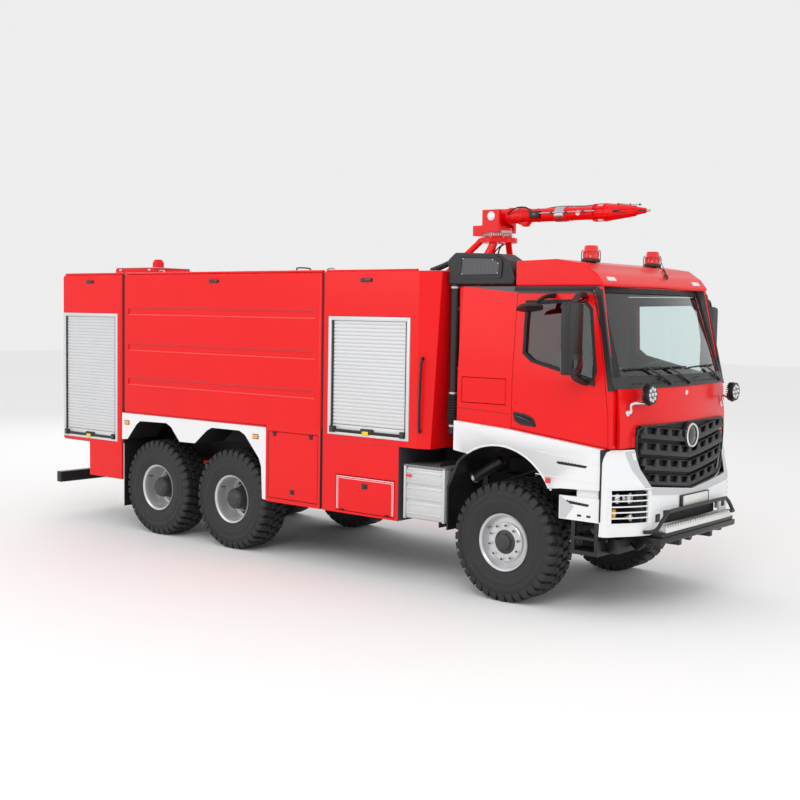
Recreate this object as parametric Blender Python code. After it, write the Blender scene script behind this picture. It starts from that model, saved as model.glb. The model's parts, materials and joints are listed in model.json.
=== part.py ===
"""Airport fire truck on a 6x6 chassis: frame, axles, steered front wheels, cab with
doors, equipment body with flaps, and a roof monitor that turns and tips.

Frame: +X is forward, +Y is the truck's left, +Z is up, and z = 0 is the ground.
"""

import math

import bmesh
import bpy
from mathutils import Matrix, Vector

# ---------------------------------------------------------------- driving dimensions (m)
FRONT_OVERHANG = 1.500        # front step bar to front axle
WHEELBASE = 3.900             # front axle to first rear axle
BOGIE_SPREAD = 1.350          # first to second rear axle
BODY_BEHIND_BOGIE = 0.619     # second rear axle to the rear end of the tank section
REAR_LOCKER_LENGTH = 1.267
REAR_LOCKER_FLOOR = 1.059
UNDERRUN_STANDOFF = 0.210     # rear body face to the rear face of the underrun bar
BODY_SETBACK = 0.895          # front axle to the body's front wall
FRONT_LOCKER_LENGTH = 1.491
MODULE_GAP = 0.034            # dark gap between body sections

BODY_WIDTH = 2.500
BODY_FLOOR = 1.490
BODY_TOP = 3.246
SKIRT_BOTTOM = 0.645

CAB_WIDTH = 2.300
CAB_SKIRT = 1.450             # lower edge of the cab's side and rear walls
CAB_FLOOR = 1.600
CAB_FLOOR_THICKNESS = 0.040
CAB_TOP = 3.350
CAB_REAR_SETBACK = 0.630      # front axle to the cab's rear wall
CAB_WALL = 0.050
BELT_HEIGHT = 2.200           # above this the cab's sides lean in
SIDE_LEAN = 0.075             # inward lean per metre of height

TRACK = 2.050                 # between the wheels' centre planes
TYRE_DIAMETER = 1.178
TYRE_WIDTH = 0.390
RIM_DIAMETER = 0.540
KINGPIN_Y = 0.880

RAIL_HEIGHT = 0.280
RAIL_WIDTH = 0.080
FRAME_TOP = 1.150
FRAME_WIDTH = 0.860           # over the outside of both rails

HINGE_PROUD = 0.004           # hinge lines stand this far outside the skin
SEAT_GAP = 0.0003             # between faces that rest on each other
DOOR_GAP = 0.006              # shut line round doors and flaps
MOVE_GAP = 0.008              # least room round a part that moves

# ---------------------------------------------------------------- places worked out
REAR_OVERHANG = BODY_BEHIND_BOGIE + MODULE_GAP + REAR_LOCKER_LENGTH + UNDERRUN_STANDOFF
LENGTH = FRONT_OVERHANG + WHEELBASE + BOGIE_SPREAD + REAR_OVERHANG
AXLE_1 = LENGTH / 2 - FRONT_OVERHANG
AXLE_2 = AXLE_1 - WHEELBASE
AXLE_3 = AXLE_2 - BOGIE_SPREAD
AXLE_Z = TYRE_DIAMETER / 2
WHEEL_Y = TRACK / 2
BODY_SIDE = BODY_WIDTH / 2
CAB_SIDE = CAB_WIDTH / 2
CAB_REAR = AXLE_1 - CAB_REAR_SETBACK
BODY_FRONT = AXLE_1 - BODY_SETBACK
FRONT_LOCKER_REAR = BODY_FRONT - FRONT_LOCKER_LENGTH
TANK_FRONT = FRONT_LOCKER_REAR - MODULE_GAP
TANK_REAR = AXLE_3 - BODY_BEHIND_BOGIE
REAR_LOCKER_FRONT = TANK_REAR - MODULE_GAP
BODY_REAR = REAR_LOCKER_FRONT - REAR_LOCKER_LENGTH
FRAME_BOTTOM = FRAME_TOP - RAIL_HEIGHT
RAIL_Y = FRAME_WIDTH / 2 - RAIL_WIDTH
SIDES = {"right": -1, "left": 1}


# ---------------------------------------------------------------- materials
def paint(name, colour, roughness, metallic=0.0):
    material = bpy.data.materials.new(name)
    material.use_nodes = True
    shader = material.node_tree.nodes["Principled BSDF"]
    shader.inputs["Base Color"].default_value = (*colour, 1.0)
    shader.inputs["Roughness"].default_value = roughness
    shader.inputs["Metallic"].default_value = metallic
    return material


def own_material(obj, kind):
    colour, roughness, metallic = FINISHES[kind]
    obj.data.materials.clear()
    obj.data.materials.append(paint(f"{obj.name}_{kind}", colour, roughness, metallic))


FINISHES = {
    "red": ((0.70, 0.02, 0.02), 0.30, 0.0),
    "white": ((0.85, 0.85, 0.85), 0.30, 0.0),
    "black": ((0.02, 0.02, 0.02), 0.60, 0.0),
    "frame_grey": ((0.05, 0.05, 0.055), 0.55, 0.0),
    "rubber": ((0.025, 0.025, 0.025), 0.85, 0.0),
    "silver": ((0.62, 0.63, 0.64), 0.35, 0.9),
    "aluminium": ((0.72, 0.72, 0.73), 0.40, 0.9),
    "glass": ((0.55, 0.68, 0.66), 0.05, 0.0),
    "fabric": ((0.06, 0.07, 0.08), 0.90, 0.0),
}


# ---------------------------------------------------------------- shape helpers
def new_object(name, mesh, kind):
    obj = bpy.data.objects.new(name, mesh)
    bpy.context.scene.collection.objects.link(obj)
    own_material(obj, kind)
    return obj


def close_mesh(bm, name):
    """Merge doubles, point the faces outwards and return the mesh."""
    bmesh.ops.remove_doubles(bm, verts=bm.verts, dist=1e-6)
    bmesh.ops.recalc_face_normals(bm, faces=bm.faces)
    mesh = bpy.data.meshes.new(name)
    bm.to_mesh(mesh)
    bm.free()
    return mesh


def box(name, x, y, z, kind="black"):
    """A box between two values on each axis."""
    size = [abs(pair[1] - pair[0]) for pair in (x, y, z)]
    centre = [(pair[0] + pair[1]) / 2 for pair in (x, y, z)]
    bm = bmesh.new()
    bmesh.ops.create_cube(bm, size=1.0)
    bmesh.ops.scale(bm, vec=size, verts=bm.verts)
    bmesh.ops.translate(bm, vec=centre, verts=bm.verts)
    return new_object(name, close_mesh(bm, name), kind)


def prism(name, outline, axis, span, kind="black"):
    """An outline on the plane across the axis, extruded between two values along it."""
    place = {
        "x": lambda a, b, c: (c, a, b),
        "y": lambda a, b, c: (a, c, b),
        "z": lambda a, b, c: (a, b, c),
    }[axis]
    bm = bmesh.new()
    loop = [bm.verts.new(place(a, b, span[0])) for a, b in outline]
    face = bm.faces.new(loop)
    top = bmesh.ops.extrude_face_region(bm, geom=[face])["geom"]
    shift = Vector(place(0, 0, span[1])) - Vector(place(0, 0, span[0]))
    bmesh.ops.translate(bm, vec=shift, verts=[v for v in top if isinstance(v, bmesh.types.BMVert)])
    return new_object(name, close_mesh(bm, name), kind)


def rod(name, start, end, radius, sides=16, kind="black"):
    """A round bar between two points."""
    start, end = Vector(start), Vector(end)
    along = end - start
    bm = bmesh.new()
    bmesh.ops.create_cone(
        bm, cap_ends=True, segments=sides, radius1=radius, radius2=radius, depth=along.length
    )
    turn = along.to_track_quat("Z", "Y").to_matrix().to_4x4()
    bmesh.ops.transform(bm, matrix=Matrix.Translation((start + end) / 2) @ turn, verts=bm.verts)
    return new_object(name, close_mesh(bm, name), kind)


def turned(name, profile, centre, outward, segments, kind):
    """A closed profile of (radius, offset) points spun round the Y axis through centre.

    A flat of the turned shape faces down, so that a wheel stands on it.
    """
    bm = bmesh.new()
    points = [bm.verts.new((radius, outward * offset, 0.0)) for radius, offset in profile]
    edges = [
        bm.edges.new((points[i - 1], points[i]))
        for i in range(len(points))
        if profile[i - 1][0] > 0 or profile[i][0] > 0
    ]
    bmesh.ops.spin(
        bm, geom=edges + points, cent=(0, 0, 0), axis=(0, 1, 0), angle=math.tau,
        steps=segments, use_merge=True,
    )
    half_step = Matrix.Rotation(math.pi / segments, 4, "Y")
    bmesh.ops.transform(bm, matrix=Matrix.Translation(centre) @ half_step, verts=bm.verts)
    mesh = close_mesh(bm, name)
    obj = new_object(name, mesh, kind)
    mesh.shade_smooth()
    mesh.set_sharp_from_angle(angle=math.radians(35))
    return obj


def as_mesh(obj):
    """Turn an object's modifiers into plain mesh."""
    graph = bpy.context.evaluated_depsgraph_get()
    mesh = bpy.data.meshes.new_from_object(obj.evaluated_get(graph))
    old = obj.data
    obj.modifiers.clear()
    obj.data = mesh
    mesh.name = obj.name
    bpy.data.meshes.remove(old)
    return obj


def combine(base, tools, operation):
    """Join or cut a base with tool solids, which are used up."""
    for tool in tools:
        modifier = base.modifiers.new(operation.lower(), "BOOLEAN")
        modifier.operation = operation
        modifier.object = tool
        modifier.solver = "EXACT"
    as_mesh(base)
    for tool in tools:
        bpy.data.objects.remove(tool)
    return base


def fuse(base, *tools):
    return combine(base, tools, "UNION")


def cut(base, *tools):
    return combine(base, tools, "DIFFERENCE")


def bevel(obj, width, segments=2, angle=40):
    """Round the edges that are sharper than the angle."""
    modifier = obj.modifiers.new("round", "BEVEL")
    modifier.width = width
    modifier.segments = segments
    modifier.limit_method = "ANGLE"
    modifier.angle_limit = math.radians(angle)
    return as_mesh(obj)


def pivot(obj, point):
    """Put the object's origin on its joint without moving its shape."""
    obj.data.transform(Matrix.Translation(-Vector(point)))
    obj.location = point
    return obj


def inset(outline, gap):
    """A convex outline with each edge moved inwards by the gap."""
    points = [Vector(point) for point in outline]
    centre = sum(points, Vector((0, 0))) / len(points)
    edges = []
    for i, point in enumerate(points):
        along = (points[(i + 1) % len(points)] - point).normalized()
        normal = Vector((-along.y, along.x))
        if normal.dot(centre - point) < 0:
            normal.negate()
        edges.append((point + normal * gap, along))
    moved = []
    for i, (point, along) in enumerate(edges):
        before, before_along = edges[i - 1]
        cross = before_along.x * along.y - before_along.y * along.x
        offset = point - before
        reach = (offset.x * along.y - offset.y * along.x) / cross
        moved.append(tuple(before + before_along * reach))
    return moved


def span(side, inner, outer):
    """The Y range between two distances from the centre plane, on one side."""
    return (side * inner, side * outer)


def lean(obj, side):
    """Lean a cab side part inwards above the belt line."""
    bm = bmesh.new()
    bm.from_mesh(obj.data)
    geometry = bm.verts[:] + bm.edges[:] + bm.faces[:]
    bmesh.ops.bisect_plane(bm, geom=geometry, plane_co=(0, 0, BELT_HEIGHT), plane_no=(0, 0, 1))
    bmesh.ops.triangulate(bm, faces=bm.faces)
    for vert in bm.verts:
        vert.co.y -= side * SIDE_LEAN * max(0.0, vert.co.z - BELT_HEIGHT)
    bm.to_mesh(obj.data)
    bm.free()
    return obj


# ---------------------------------------------------------------- chassis
CROSS_TOP = FRAME_TOP - 0.050
CROSS_HEIGHT = 0.180


def chassis_frame():
    front = AXLE_1 + 1.000
    rear = BODY_REAR - UNDERRUN_STANDOFF + UNDERRUN_DEPTH + SEAT_GAP
    rails = [
        box(f"rail_{name}", (rear, front), span(side, RAIL_Y, RAIL_Y + RAIL_WIDTH),
            (FRAME_BOTTOM, FRAME_TOP))
        for name, side in SIDES.items()
    ]
    cross_places = [front - 0.06, AXLE_1 - 0.86, (AXLE_1 + AXLE_2) / 2, AXLE_2 + 0.40,
                    (AXLE_2 + AXLE_3) / 2, AXLE_3 - 0.45, rear + 0.30]
    cross = [
        box(f"cross_{index}", (x - 0.05, x + 0.05), (-RAIL_Y - 0.02, RAIL_Y + 0.02),
            (CROSS_TOP - CROSS_HEIGHT, CROSS_TOP))
        for index, x in enumerate(cross_places)
    ]
    hangers = []
    for side in SIDES.values():
        for x in (AXLE_1 - FRONT_SPRING_HALF + 0.04, AXLE_1 + FRONT_SPRING_HALF - 0.04):
            hangers.append(box("hanger", (x - 0.04, x + 0.04),
                               span(side, RAIL_Y + 0.01, RAIL_Y + RAIL_WIDTH - 0.01),
                               (FRONT_SPRING_END_TOP + SEAT_GAP, FRAME_BOTTOM + 0.02)))
        middle = (AXLE_2 + AXLE_3) / 2
        hangers.append(box("trunnion_bracket", (middle - 0.13, middle + 0.13),
                           span(side, RAIL_Y + 0.01, RAIL_Y + RAIL_WIDTH - 0.01),
                           (TRUNNION_Z + TRUNNION_RADIUS + SEAT_GAP, FRAME_BOTTOM + 0.02)))
    frame = fuse(rails[0], rails[1], *cross, *hangers)
    frame.name = "chassis_frame"
    own_material(frame, "frame_grey")


FRONT_SPRING_HALF = 0.780
FRONT_SPRING_END_TOP = FRAME_BOTTOM - 0.050
FRONT_SPRING_PACK = 0.070
BEAM_HEIGHT = 0.120
BEAM_HALF_WIDTH = 0.050
BEAM_END_RADIUS = 0.055
PIN_RADIUS = 0.030
PIN_CLEARANCE = 0.003


def front_axle():
    """Beam with kingpin eyes, carrying the two leaf springs."""
    low, high = AXLE_Z - BEAM_HEIGHT / 2, AXLE_Z + BEAM_HEIGHT / 2
    beam = box("front_axle", (AXLE_1 - BEAM_HALF_WIDTH, AXLE_1 + BEAM_HALF_WIDTH),
               (-KINGPIN_Y, KINGPIN_Y), (low, high), "frame_grey")
    adds, bores = [], []
    for side in SIDES.values():
        y = side * KINGPIN_Y
        adds.append(rod("eye", (AXLE_1, y, low), (AXLE_1, y, high), BEAM_END_RADIUS, 20))
        bores.append(rod("bore", (AXLE_1, y, low - 0.01), (AXLE_1, y, high + 0.01),
                         PIN_RADIUS + PIN_CLEARANCE, 16))
        half = FRONT_SPRING_HALF
        top, pack = FRONT_SPRING_END_TOP, FRONT_SPRING_PACK
        leaf = [(-half, top - 0.03), (-half, top), (-0.40, high + pack + 0.03),
                (0.0, high + pack), (0.40, high + pack + 0.03), (half, top), (half, top - 0.03),
                (0.40, high + 0.045), (0.13, high - 0.01), (-0.13, high - 0.01), (-0.40, high + 0.045)]
        adds.append(prism("leaf_spring", [(AXLE_1 + x, z) for x, z in leaf], "y",
                          span(side, RAIL_Y, RAIL_Y + RAIL_WIDTH)))
    cut(fuse(beam, *adds), *bores)


KNUCKLE_LUG = 0.060
KNUCKLE_WEB_INNER = 0.066
KNUCKLE_WEB_OUTER = 0.105
SPINDLE_RADIUS = 0.050
SPINDLE_END = 0.060           # outside the wheel's centre plane
HUB_BORE_GAP = 0.006


def knuckles():
    """Forked knuckle round the beam's eye, with its kingpin and wheel spindle."""
    reach = BEAM_HEIGHT / 2 + 0.005
    for name, side in SIDES.items():
        web = box(f"knuckle_{name}", (AXLE_1 - 0.045, AXLE_1 + 0.045),
                  span(side, KINGPIN_Y + KNUCKLE_WEB_INNER, KINGPIN_Y + KNUCKLE_WEB_OUTER),
                  (AXLE_Z - reach - KNUCKLE_LUG, AXLE_Z + reach + KNUCKLE_LUG), "frame_grey")
        lugs = [
            box("lug", (AXLE_1 - 0.044, AXLE_1 + 0.044),
                span(side, KINGPIN_Y - 0.045, KINGPIN_Y + KNUCKLE_WEB_INNER + 0.01),
                (AXLE_Z + up * reach, AXLE_Z + up * (reach + KNUCKLE_LUG - 0.001)))
            for up in (-1, 1)
        ]
        pin = rod("pin", (AXLE_1, side * KINGPIN_Y, AXLE_Z - reach - 0.03),
                  (AXLE_1, side * KINGPIN_Y, AXLE_Z + reach + 0.03), PIN_RADIUS, 16)
        spindle = rod("spindle", (AXLE_1, side * (KINGPIN_Y + KNUCKLE_WEB_OUTER - 0.01), AXLE_Z),
                      (AXLE_1, side * (WHEEL_Y + SPINDLE_END), AXLE_Z), SPINDLE_RADIUS, 20)
        fuse(web, *lugs, pin, spindle)
        pivot(web, (AXLE_1, side * KINGPIN_Y, AXLE_Z))


REAR_TUBE_RADIUS = 0.090
REAR_TUBE_END = 0.780
DIFFERENTIAL_RADIUS = 0.215
REAR_SPINDLE_END = 0.060
SHAFT_RADIUS = 0.060
SHAFT_END_GAP = 0.015
GEARBOX_Z = 0.860             # centre of the gearbox output


def rear_axles():
    """Axle tubes with a differential bulge; the first carries the propeller shaft."""
    half = [(0.0, WHEEL_Y + REAR_SPINDLE_END), (SPINDLE_RADIUS, WHEEL_Y + REAR_SPINDLE_END),
            (SPINDLE_RADIUS, REAR_TUBE_END), (REAR_TUBE_RADIUS, REAR_TUBE_END),
            (REAR_TUBE_RADIUS, 0.19), (0.16, 0.13), (DIFFERENTIAL_RADIUS, 0.04)]
    profile = half + [(radius, -offset) for radius, offset in reversed(half)]
    for name, x in (("rear_axle_first", AXLE_2), ("rear_axle_second", AXLE_3)):
        axle = turned(name, profile, (x, 0, AXLE_Z), 1, 20, "frame_grey")
        if x == AXLE_2:
            fuse(axle, rod("shaft", (x, 0, AXLE_Z + 0.05), (ENGINE_REAR - SHAFT_END_GAP, 0, GEARBOX_Z),
                           SHAFT_RADIUS, 14))


TRUNNION_Z = 0.700
TRUNNION_RADIUS = 0.055
BOGIE_SPRING_Y = 0.450
BOGIE_SPRING_WIDTH = 0.090


def bogie_springs():
    """Two leaf packs on a trunnion tube; their ends lie on the rear axles' tubes."""
    middle = (AXLE_2 + AXLE_3) / 2
    outer = BOGIE_SPRING_Y + BOGIE_SPRING_WIDTH
    tube = rod("bogie_springs", (middle, -outer + 0.01, TRUNNION_Z), (middle, outer - 0.01, TRUNNION_Z),
               TRUNNION_RADIUS, 18, "frame_grey")
    seat = AXLE_Z + REAR_TUBE_RADIUS + SEAT_GAP
    half = BOGIE_SPREAD / 2 + 0.10
    leaf = [(-half, seat), (-half, seat + 0.04), (-0.20, 0.860), (0.20, 0.860),
            (half, seat + 0.04), (half, seat), (0.20, 0.735), (-0.20, 0.735)]
    packs = [
        prism("pack", [(middle + x, z) for x, z in leaf], "y", span(side, BOGIE_SPRING_Y, outer))
        for side in SIDES.values()
    ]
    fuse(tube, *packs)


ENGINE_REAR = AXLE_1 - 0.560


def engine():
    block = box("engine_block", (ENGINE_REAR, AXLE_1 + 0.80), (-0.33, 0.33), (0.76, 1.34), "frame_grey")
    bevel(block, 0.03, 1)


UNDERRUN_DEPTH = 0.100


def underrun_bar():
    rear = BODY_REAR - UNDERRUN_STANDOFF
    bar = box("underrun_bar", (rear, rear + UNDERRUN_DEPTH), (-1.2, 1.2), (0.452, 0.593), "black")
    posts = [
        box("post", (rear + 0.01, rear + UNDERRUN_DEPTH - 0.01),
            span(side, RAIL_Y, RAIL_Y + RAIL_WIDTH), (0.55, FRAME_TOP - 0.02))
        for side in SIDES.values()
    ]
    bevel(fuse(bar, *posts), 0.008, 1)


def side_tanks():
    """Ribbed aluminium box on the right, round-edged fuel tank on the left."""
    front, rear = AXLE_1 - 0.725, AXLE_1 - 1.245
    for name, side in (("side_tank", -1), ("fuel_tank", 1)):
        tank = box(name, (rear, front), span(side, FRAME_WIDTH / 2 + SEAT_GAP, 1.20),
                   (0.685, 1.235), "aluminium")
        bevel(tank, 0.03, 2)


# ---------------------------------------------------------------- wheels
WHEEL_SEGMENTS = 24


def wheels():
    half = TYRE_WIDTH / 2
    radius = TYRE_DIAMETER / 2 / math.cos(math.pi / WHEEL_SEGMENTS)
    seat = RIM_DIAMETER / 2
    outer = [(seat + 0.0005, half - 0.045), (seat + 0.030, half - 0.030), (seat + 0.15, half),
             (radius - 0.07, half), (radius - 0.010, half - 0.012), (radius, half - 0.030)]
    tyre_profile = outer + [(r, -t) for r, t in reversed(outer)]
    flange = seat + 0.018
    inside = seat - 0.018
    lip = half - 0.0285
    barrel = [(inside, -lip - 0.01), (flange, -lip - 0.01), (flange, -lip), (seat, -half + 0.044),
              (seat, half - 0.044), (flange, lip), (flange, lip + 0.01), (inside, lip + 0.01)]
    bore = SPINDLE_RADIUS + HUB_BORE_GAP
    front_disc = [(inside, 0.105), (0.115, 0.110), (0.110, 0.155), (0.080, half - 0.006),
                  (0.0, half - 0.004), (0.0, SPINDLE_END + 0.012), (bore, SPINDLE_END + 0.012),
                  (bore, -0.010), (0.095, -0.010), (0.095, 0.075), (inside, 0.080)]
    rear_disc = [(inside, -0.060), (0.150, -0.070), (0.145, 0.060), (0.090, 0.120),
                 (0.0, 0.125), (0.0, SPINDLE_END + 0.012), (bore, SPINDLE_END + 0.012),
                 (bore, -0.110), (0.160, -0.110), (0.170, -0.090), (inside, -0.085)]
    places = {"front": AXLE_1, "middle": AXLE_2, "rear": AXLE_3}
    for row, x in places.items():
        disc = front_disc if row == "front" else rear_disc
        for name, side in SIDES.items():
            centre = (x, side * WHEEL_Y, AXLE_Z)
            tyre = turned(f"tyre_{row}_{name}", tyre_profile, centre, side, WHEEL_SEGMENTS, "rubber")
            rim = turned(f"rim_{row}_{name}", barrel + disc, centre, side, WHEEL_SEGMENTS, "silver")
            pivot(tyre, centre)
            pivot(rim, centre)


# ---------------------------------------------------------------- cab
FACE_X = AXLE_1 + 1.300       # windscreen foot on the centre line
FACE_BULGE = 0.130            # the cab's front is this much further forward at the middle
SCREEN_FOOT = 2.250
SCREEN_TOP = 3.050
SCREEN_LEAN = 0.320           # how far the screen's top lies behind its foot


def face_x(y, z):
    """X of the cab's front face at a point of it."""
    lean_back = SCREEN_LEAN * max(0.0, z - 2.10) / (SCREEN_TOP + 0.05 - 2.10)
    forward = 0.02 if z < 1.8 else 0.0
    return FACE_X + forward - lean_back - FACE_BULGE * (y / CAB_SIDE) ** 2


def face_sheet(name, columns, rows, hole, thickness, setback, kind):
    """A sheet on the cab's front face, with the cells inside the hole left out."""
    bm = bmesh.new()
    grid = []
    for z in rows:
        narrow = 1 - SIDE_LEAN * max(0.0, z - BELT_HEIGHT) / CAB_SIDE
        grid.append([bm.verts.new((face_x(y, z) - setback, y * narrow, z)) for y in columns])
    for i in range(len(rows) - 1):
        for j in range(len(columns) - 1):
            if hole and hole[0] <= i < hole[1] and hole[2] <= j < hole[3]:
                continue
            bm.faces.new((grid[i][j], grid[i][j + 1], grid[i + 1][j + 1], grid[i + 1][j]))
    lonely = [v for v in bm.verts if not v.link_faces]
    bmesh.ops.delete(bm, geom=lonely, context="VERTS")
    mesh = bpy.data.meshes.new(name)
    bm.to_mesh(mesh)
    bm.free()
    obj = new_object(name, mesh, kind)
    wall = obj.modifiers.new("wall", "SOLIDIFY")
    wall.thickness = thickness
    wall.offset = -1.0
    wall.use_even_offset = False
    return as_mesh(obj)


def spread(edge, count):
    """Evenly spaced values from minus edge to plus edge."""
    return [edge * (2 * i / count - 1) for i in range(count + 1)]


def cab_front():
    edge = CAB_SIDE - CAB_WALL - 0.004
    screen_edge = edge - 0.055
    columns = [-edge] + spread(screen_edge, 10) + [edge]
    rows = [1.60, 1.79, 2.10, SCREEN_FOOT, 2.50, 2.80, SCREEN_TOP, SCREEN_TOP + 0.04]
    face_sheet("cab_front", columns, rows, (3, 6, 1, 11), 0.045, 0.0, "red")
    gap = 0.004
    glass_columns = spread(screen_edge - gap, 10)
    glass_rows = [SCREEN_FOOT + gap, 2.50, 2.80, SCREEN_TOP - gap]
    face_sheet("windscreen", glass_columns, glass_rows, None, 0.010, 0.008, "glass")


def cab_roof():
    rear, front = CAB_REAR, AXLE_1 + 0.972
    low = SCREEN_TOP + 0.04 + SEAT_GAP
    outer = [(rear, low), (rear, CAB_TOP - 0.03), (AXLE_1 + 0.45, CAB_TOP), (AXLE_1 + 0.76, CAB_TOP - 0.045),
             (AXLE_1 + 0.90, CAB_TOP - 0.14), (front, low + 0.03), (front, low)]
    inner = [(rear + 0.05, low - 0.05), (rear + 0.05, CAB_TOP - 0.09), (AXLE_1 + 0.43, CAB_TOP - 0.06),
             (AXLE_1 + 0.73, CAB_TOP - 0.10), (AXLE_1 + 0.84, CAB_TOP - 0.17),
             (front - 0.06, low + 0.02), (front - 0.06, low - 0.05)]
    half = CAB_SIDE - SIDE_LEAN * (low - BELT_HEIGHT)
    roof = prism("cab_roof", outer, "y", (-half, half), "red")
    roof = bevel(roof, 0.09, 3, 80)
    notch = box("notch", (rear - 0.1, AXLE_1 + MOVE_GAP), (-half - 0.1, -INTAKE_INNER + 0.004),
                (low - 0.1, CAB_TOP + 0.1))
    cut(roof, prism("hollow", inner, "y", (-half + 0.06, half - 0.06)), notch)


def door_outline(gap):
    """Outline of the doorway in X and Z, shrunk by a gap all round."""
    rear, front = AXLE_1 + 0.03, AXLE_1 + 1.115
    return inset([(rear, 1.712), (front, 1.595), (front - 0.010, 1.90), (AXLE_1 + 1.060, 2.24),
                  (AXLE_1 + 0.905, SCREEN_TOP - 0.02), (rear, SCREEN_TOP - 0.02)], gap)


def cab_sides():
    """Side wall with the door opening and the stowage opening behind it."""
    top = SCREEN_TOP + 0.04
    for name, side in SIDES.items():
        outline = [(CAB_REAR, CAB_SKIRT), (AXLE_1 - 0.30, 1.56), (AXLE_1 + 0.03, 1.65), (AXLE_1 + 1.08, 1.54),
                   (AXLE_1 + 1.085, 1.59), (AXLE_1 + 1.165, 1.60), (AXLE_1 + 1.150, 2.10),
                   (AXLE_1 + 0.955, top), (CAB_REAR, top)]
        wall = prism(f"cab_side_{name}", outline, "y", span(side, CAB_SIDE - CAB_WALL, CAB_SIDE), "red")
        doorway = prism("doorway", door_outline(0.0), "y", span(side, CAB_SIDE - 0.2, CAB_SIDE + 0.1))
        hatch = box("hatch", *STOWAGE_OPENING[:1], span(side, CAB_SIDE - 0.2, CAB_SIDE + 0.1),
                    STOWAGE_OPENING[1])
        cut(wall, doorway, hatch)
        lean(wall, side)
    rear_wall = box("cab_back_wall", (CAB_REAR - 0.045, CAB_REAR - SEAT_GAP),
                    (-CAB_SIDE + 0.06, CAB_SIDE - 0.06), (CAB_SKIRT, top), "red")
    bevel(rear_wall, 0.015, 1)


STOWAGE_OPENING = ((AXLE_1 - 0.580, AXLE_1 - 0.040), (1.930, 2.190))
FLAP_THICKNESS = 0.022


def stowage_flaps():
    """Top-hinged flaps over the stowage openings behind the doors."""
    (rear, front), (low, high) = STOWAGE_OPENING
    for name, side in SIDES.items():
        flap = box(f"stowage_flap_{name}", (rear + DOOR_GAP, front - DOOR_GAP),
                   span(side, CAB_SIDE - FLAP_THICKNESS, CAB_SIDE), (low + DOOR_GAP, high - DOOR_GAP), "red")
        bevel(flap, 0.004, 1)
        pivot(flap, ((rear + front) / 2, side * (CAB_SIDE + HINGE_PROUD), high - DOOR_GAP))


DOOR_THICKNESS = 0.046


def window_outline(gap):
    """Outline of the side window in X and Z, shrunk by a gap all round."""
    x = AXLE_1
    return inset([(x + 0.150, 2.450), (x + 0.246, 2.378), (x + 0.930, 2.215), (x + 0.955, 2.300),
                  (x + 0.868, 2.880), (x + 0.790, 2.955), (x + 0.150, 2.940)], gap)


def doors():
    """Hinged doors with the mirror and its arms, and the glass in each."""
    for name, side in SIDES.items():
        door = prism(f"cab_door_{name}", door_outline(DOOR_GAP), "y",
                     span(side, CAB_SIDE - DOOR_THICKNESS, CAB_SIDE), "red")
        cut(door, prism("window", window_outline(0.0), "y", span(side, CAB_SIDE - 0.2, CAB_SIDE + 0.1)))
        lean(door, side)
        out = CAB_SIDE + 0.250
        mirror = box("mirror", (AXLE_1 + 0.81, AXLE_1 + 0.90), span(side, out - 0.13, out + 0.13),
                     (2.28, 2.93))
        bevel(mirror, 0.03, 2)
        low_arm = rod("low_arm", (AXLE_1 + 0.86, side * (CAB_SIDE - 0.015), 2.192),
                      (AXLE_1 + 0.855, side * out, 2.31), 0.018, 10)
        high_arm = rod("high_arm", (AXLE_1 + 0.80, side * (CAB_SIDE - 0.085), 2.985),
                       (AXLE_1 + 0.855, side * out, 2.90), 0.018, 10)
        fuse(door, mirror, low_arm, high_arm)
        hinge = (AXLE_1 + 1.115 - DOOR_GAP, side * (CAB_SIDE + HINGE_PROUD), 1.80)
        pivot(door, hinge)
        glass = prism(f"door_glass_{name}", window_outline(0.003), "y",
                      span(side, CAB_SIDE - 0.030, CAB_SIDE - 0.022), "glass")
        lean(glass, side)
        pivot(glass, hinge)


WING_OUTER = 1.200
WING_FRONT = AXLE_1 + 1.078
ARCH_RADIUS = 0.681
ARCH_CENTRE = (AXLE_1 - 0.090, 0.854)
LINER_INNER = 0.600


def arch_points(radius, first, last, count):
    """Points along the front arch between two angles in degrees."""
    angles = [math.radians(first + (last - first) * i / count) for i in range(count + 1)]
    return [(ARCH_CENTRE[0] + radius * math.cos(a), ARCH_CENTRE[1] + radius * math.sin(a)) for a in angles]


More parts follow.
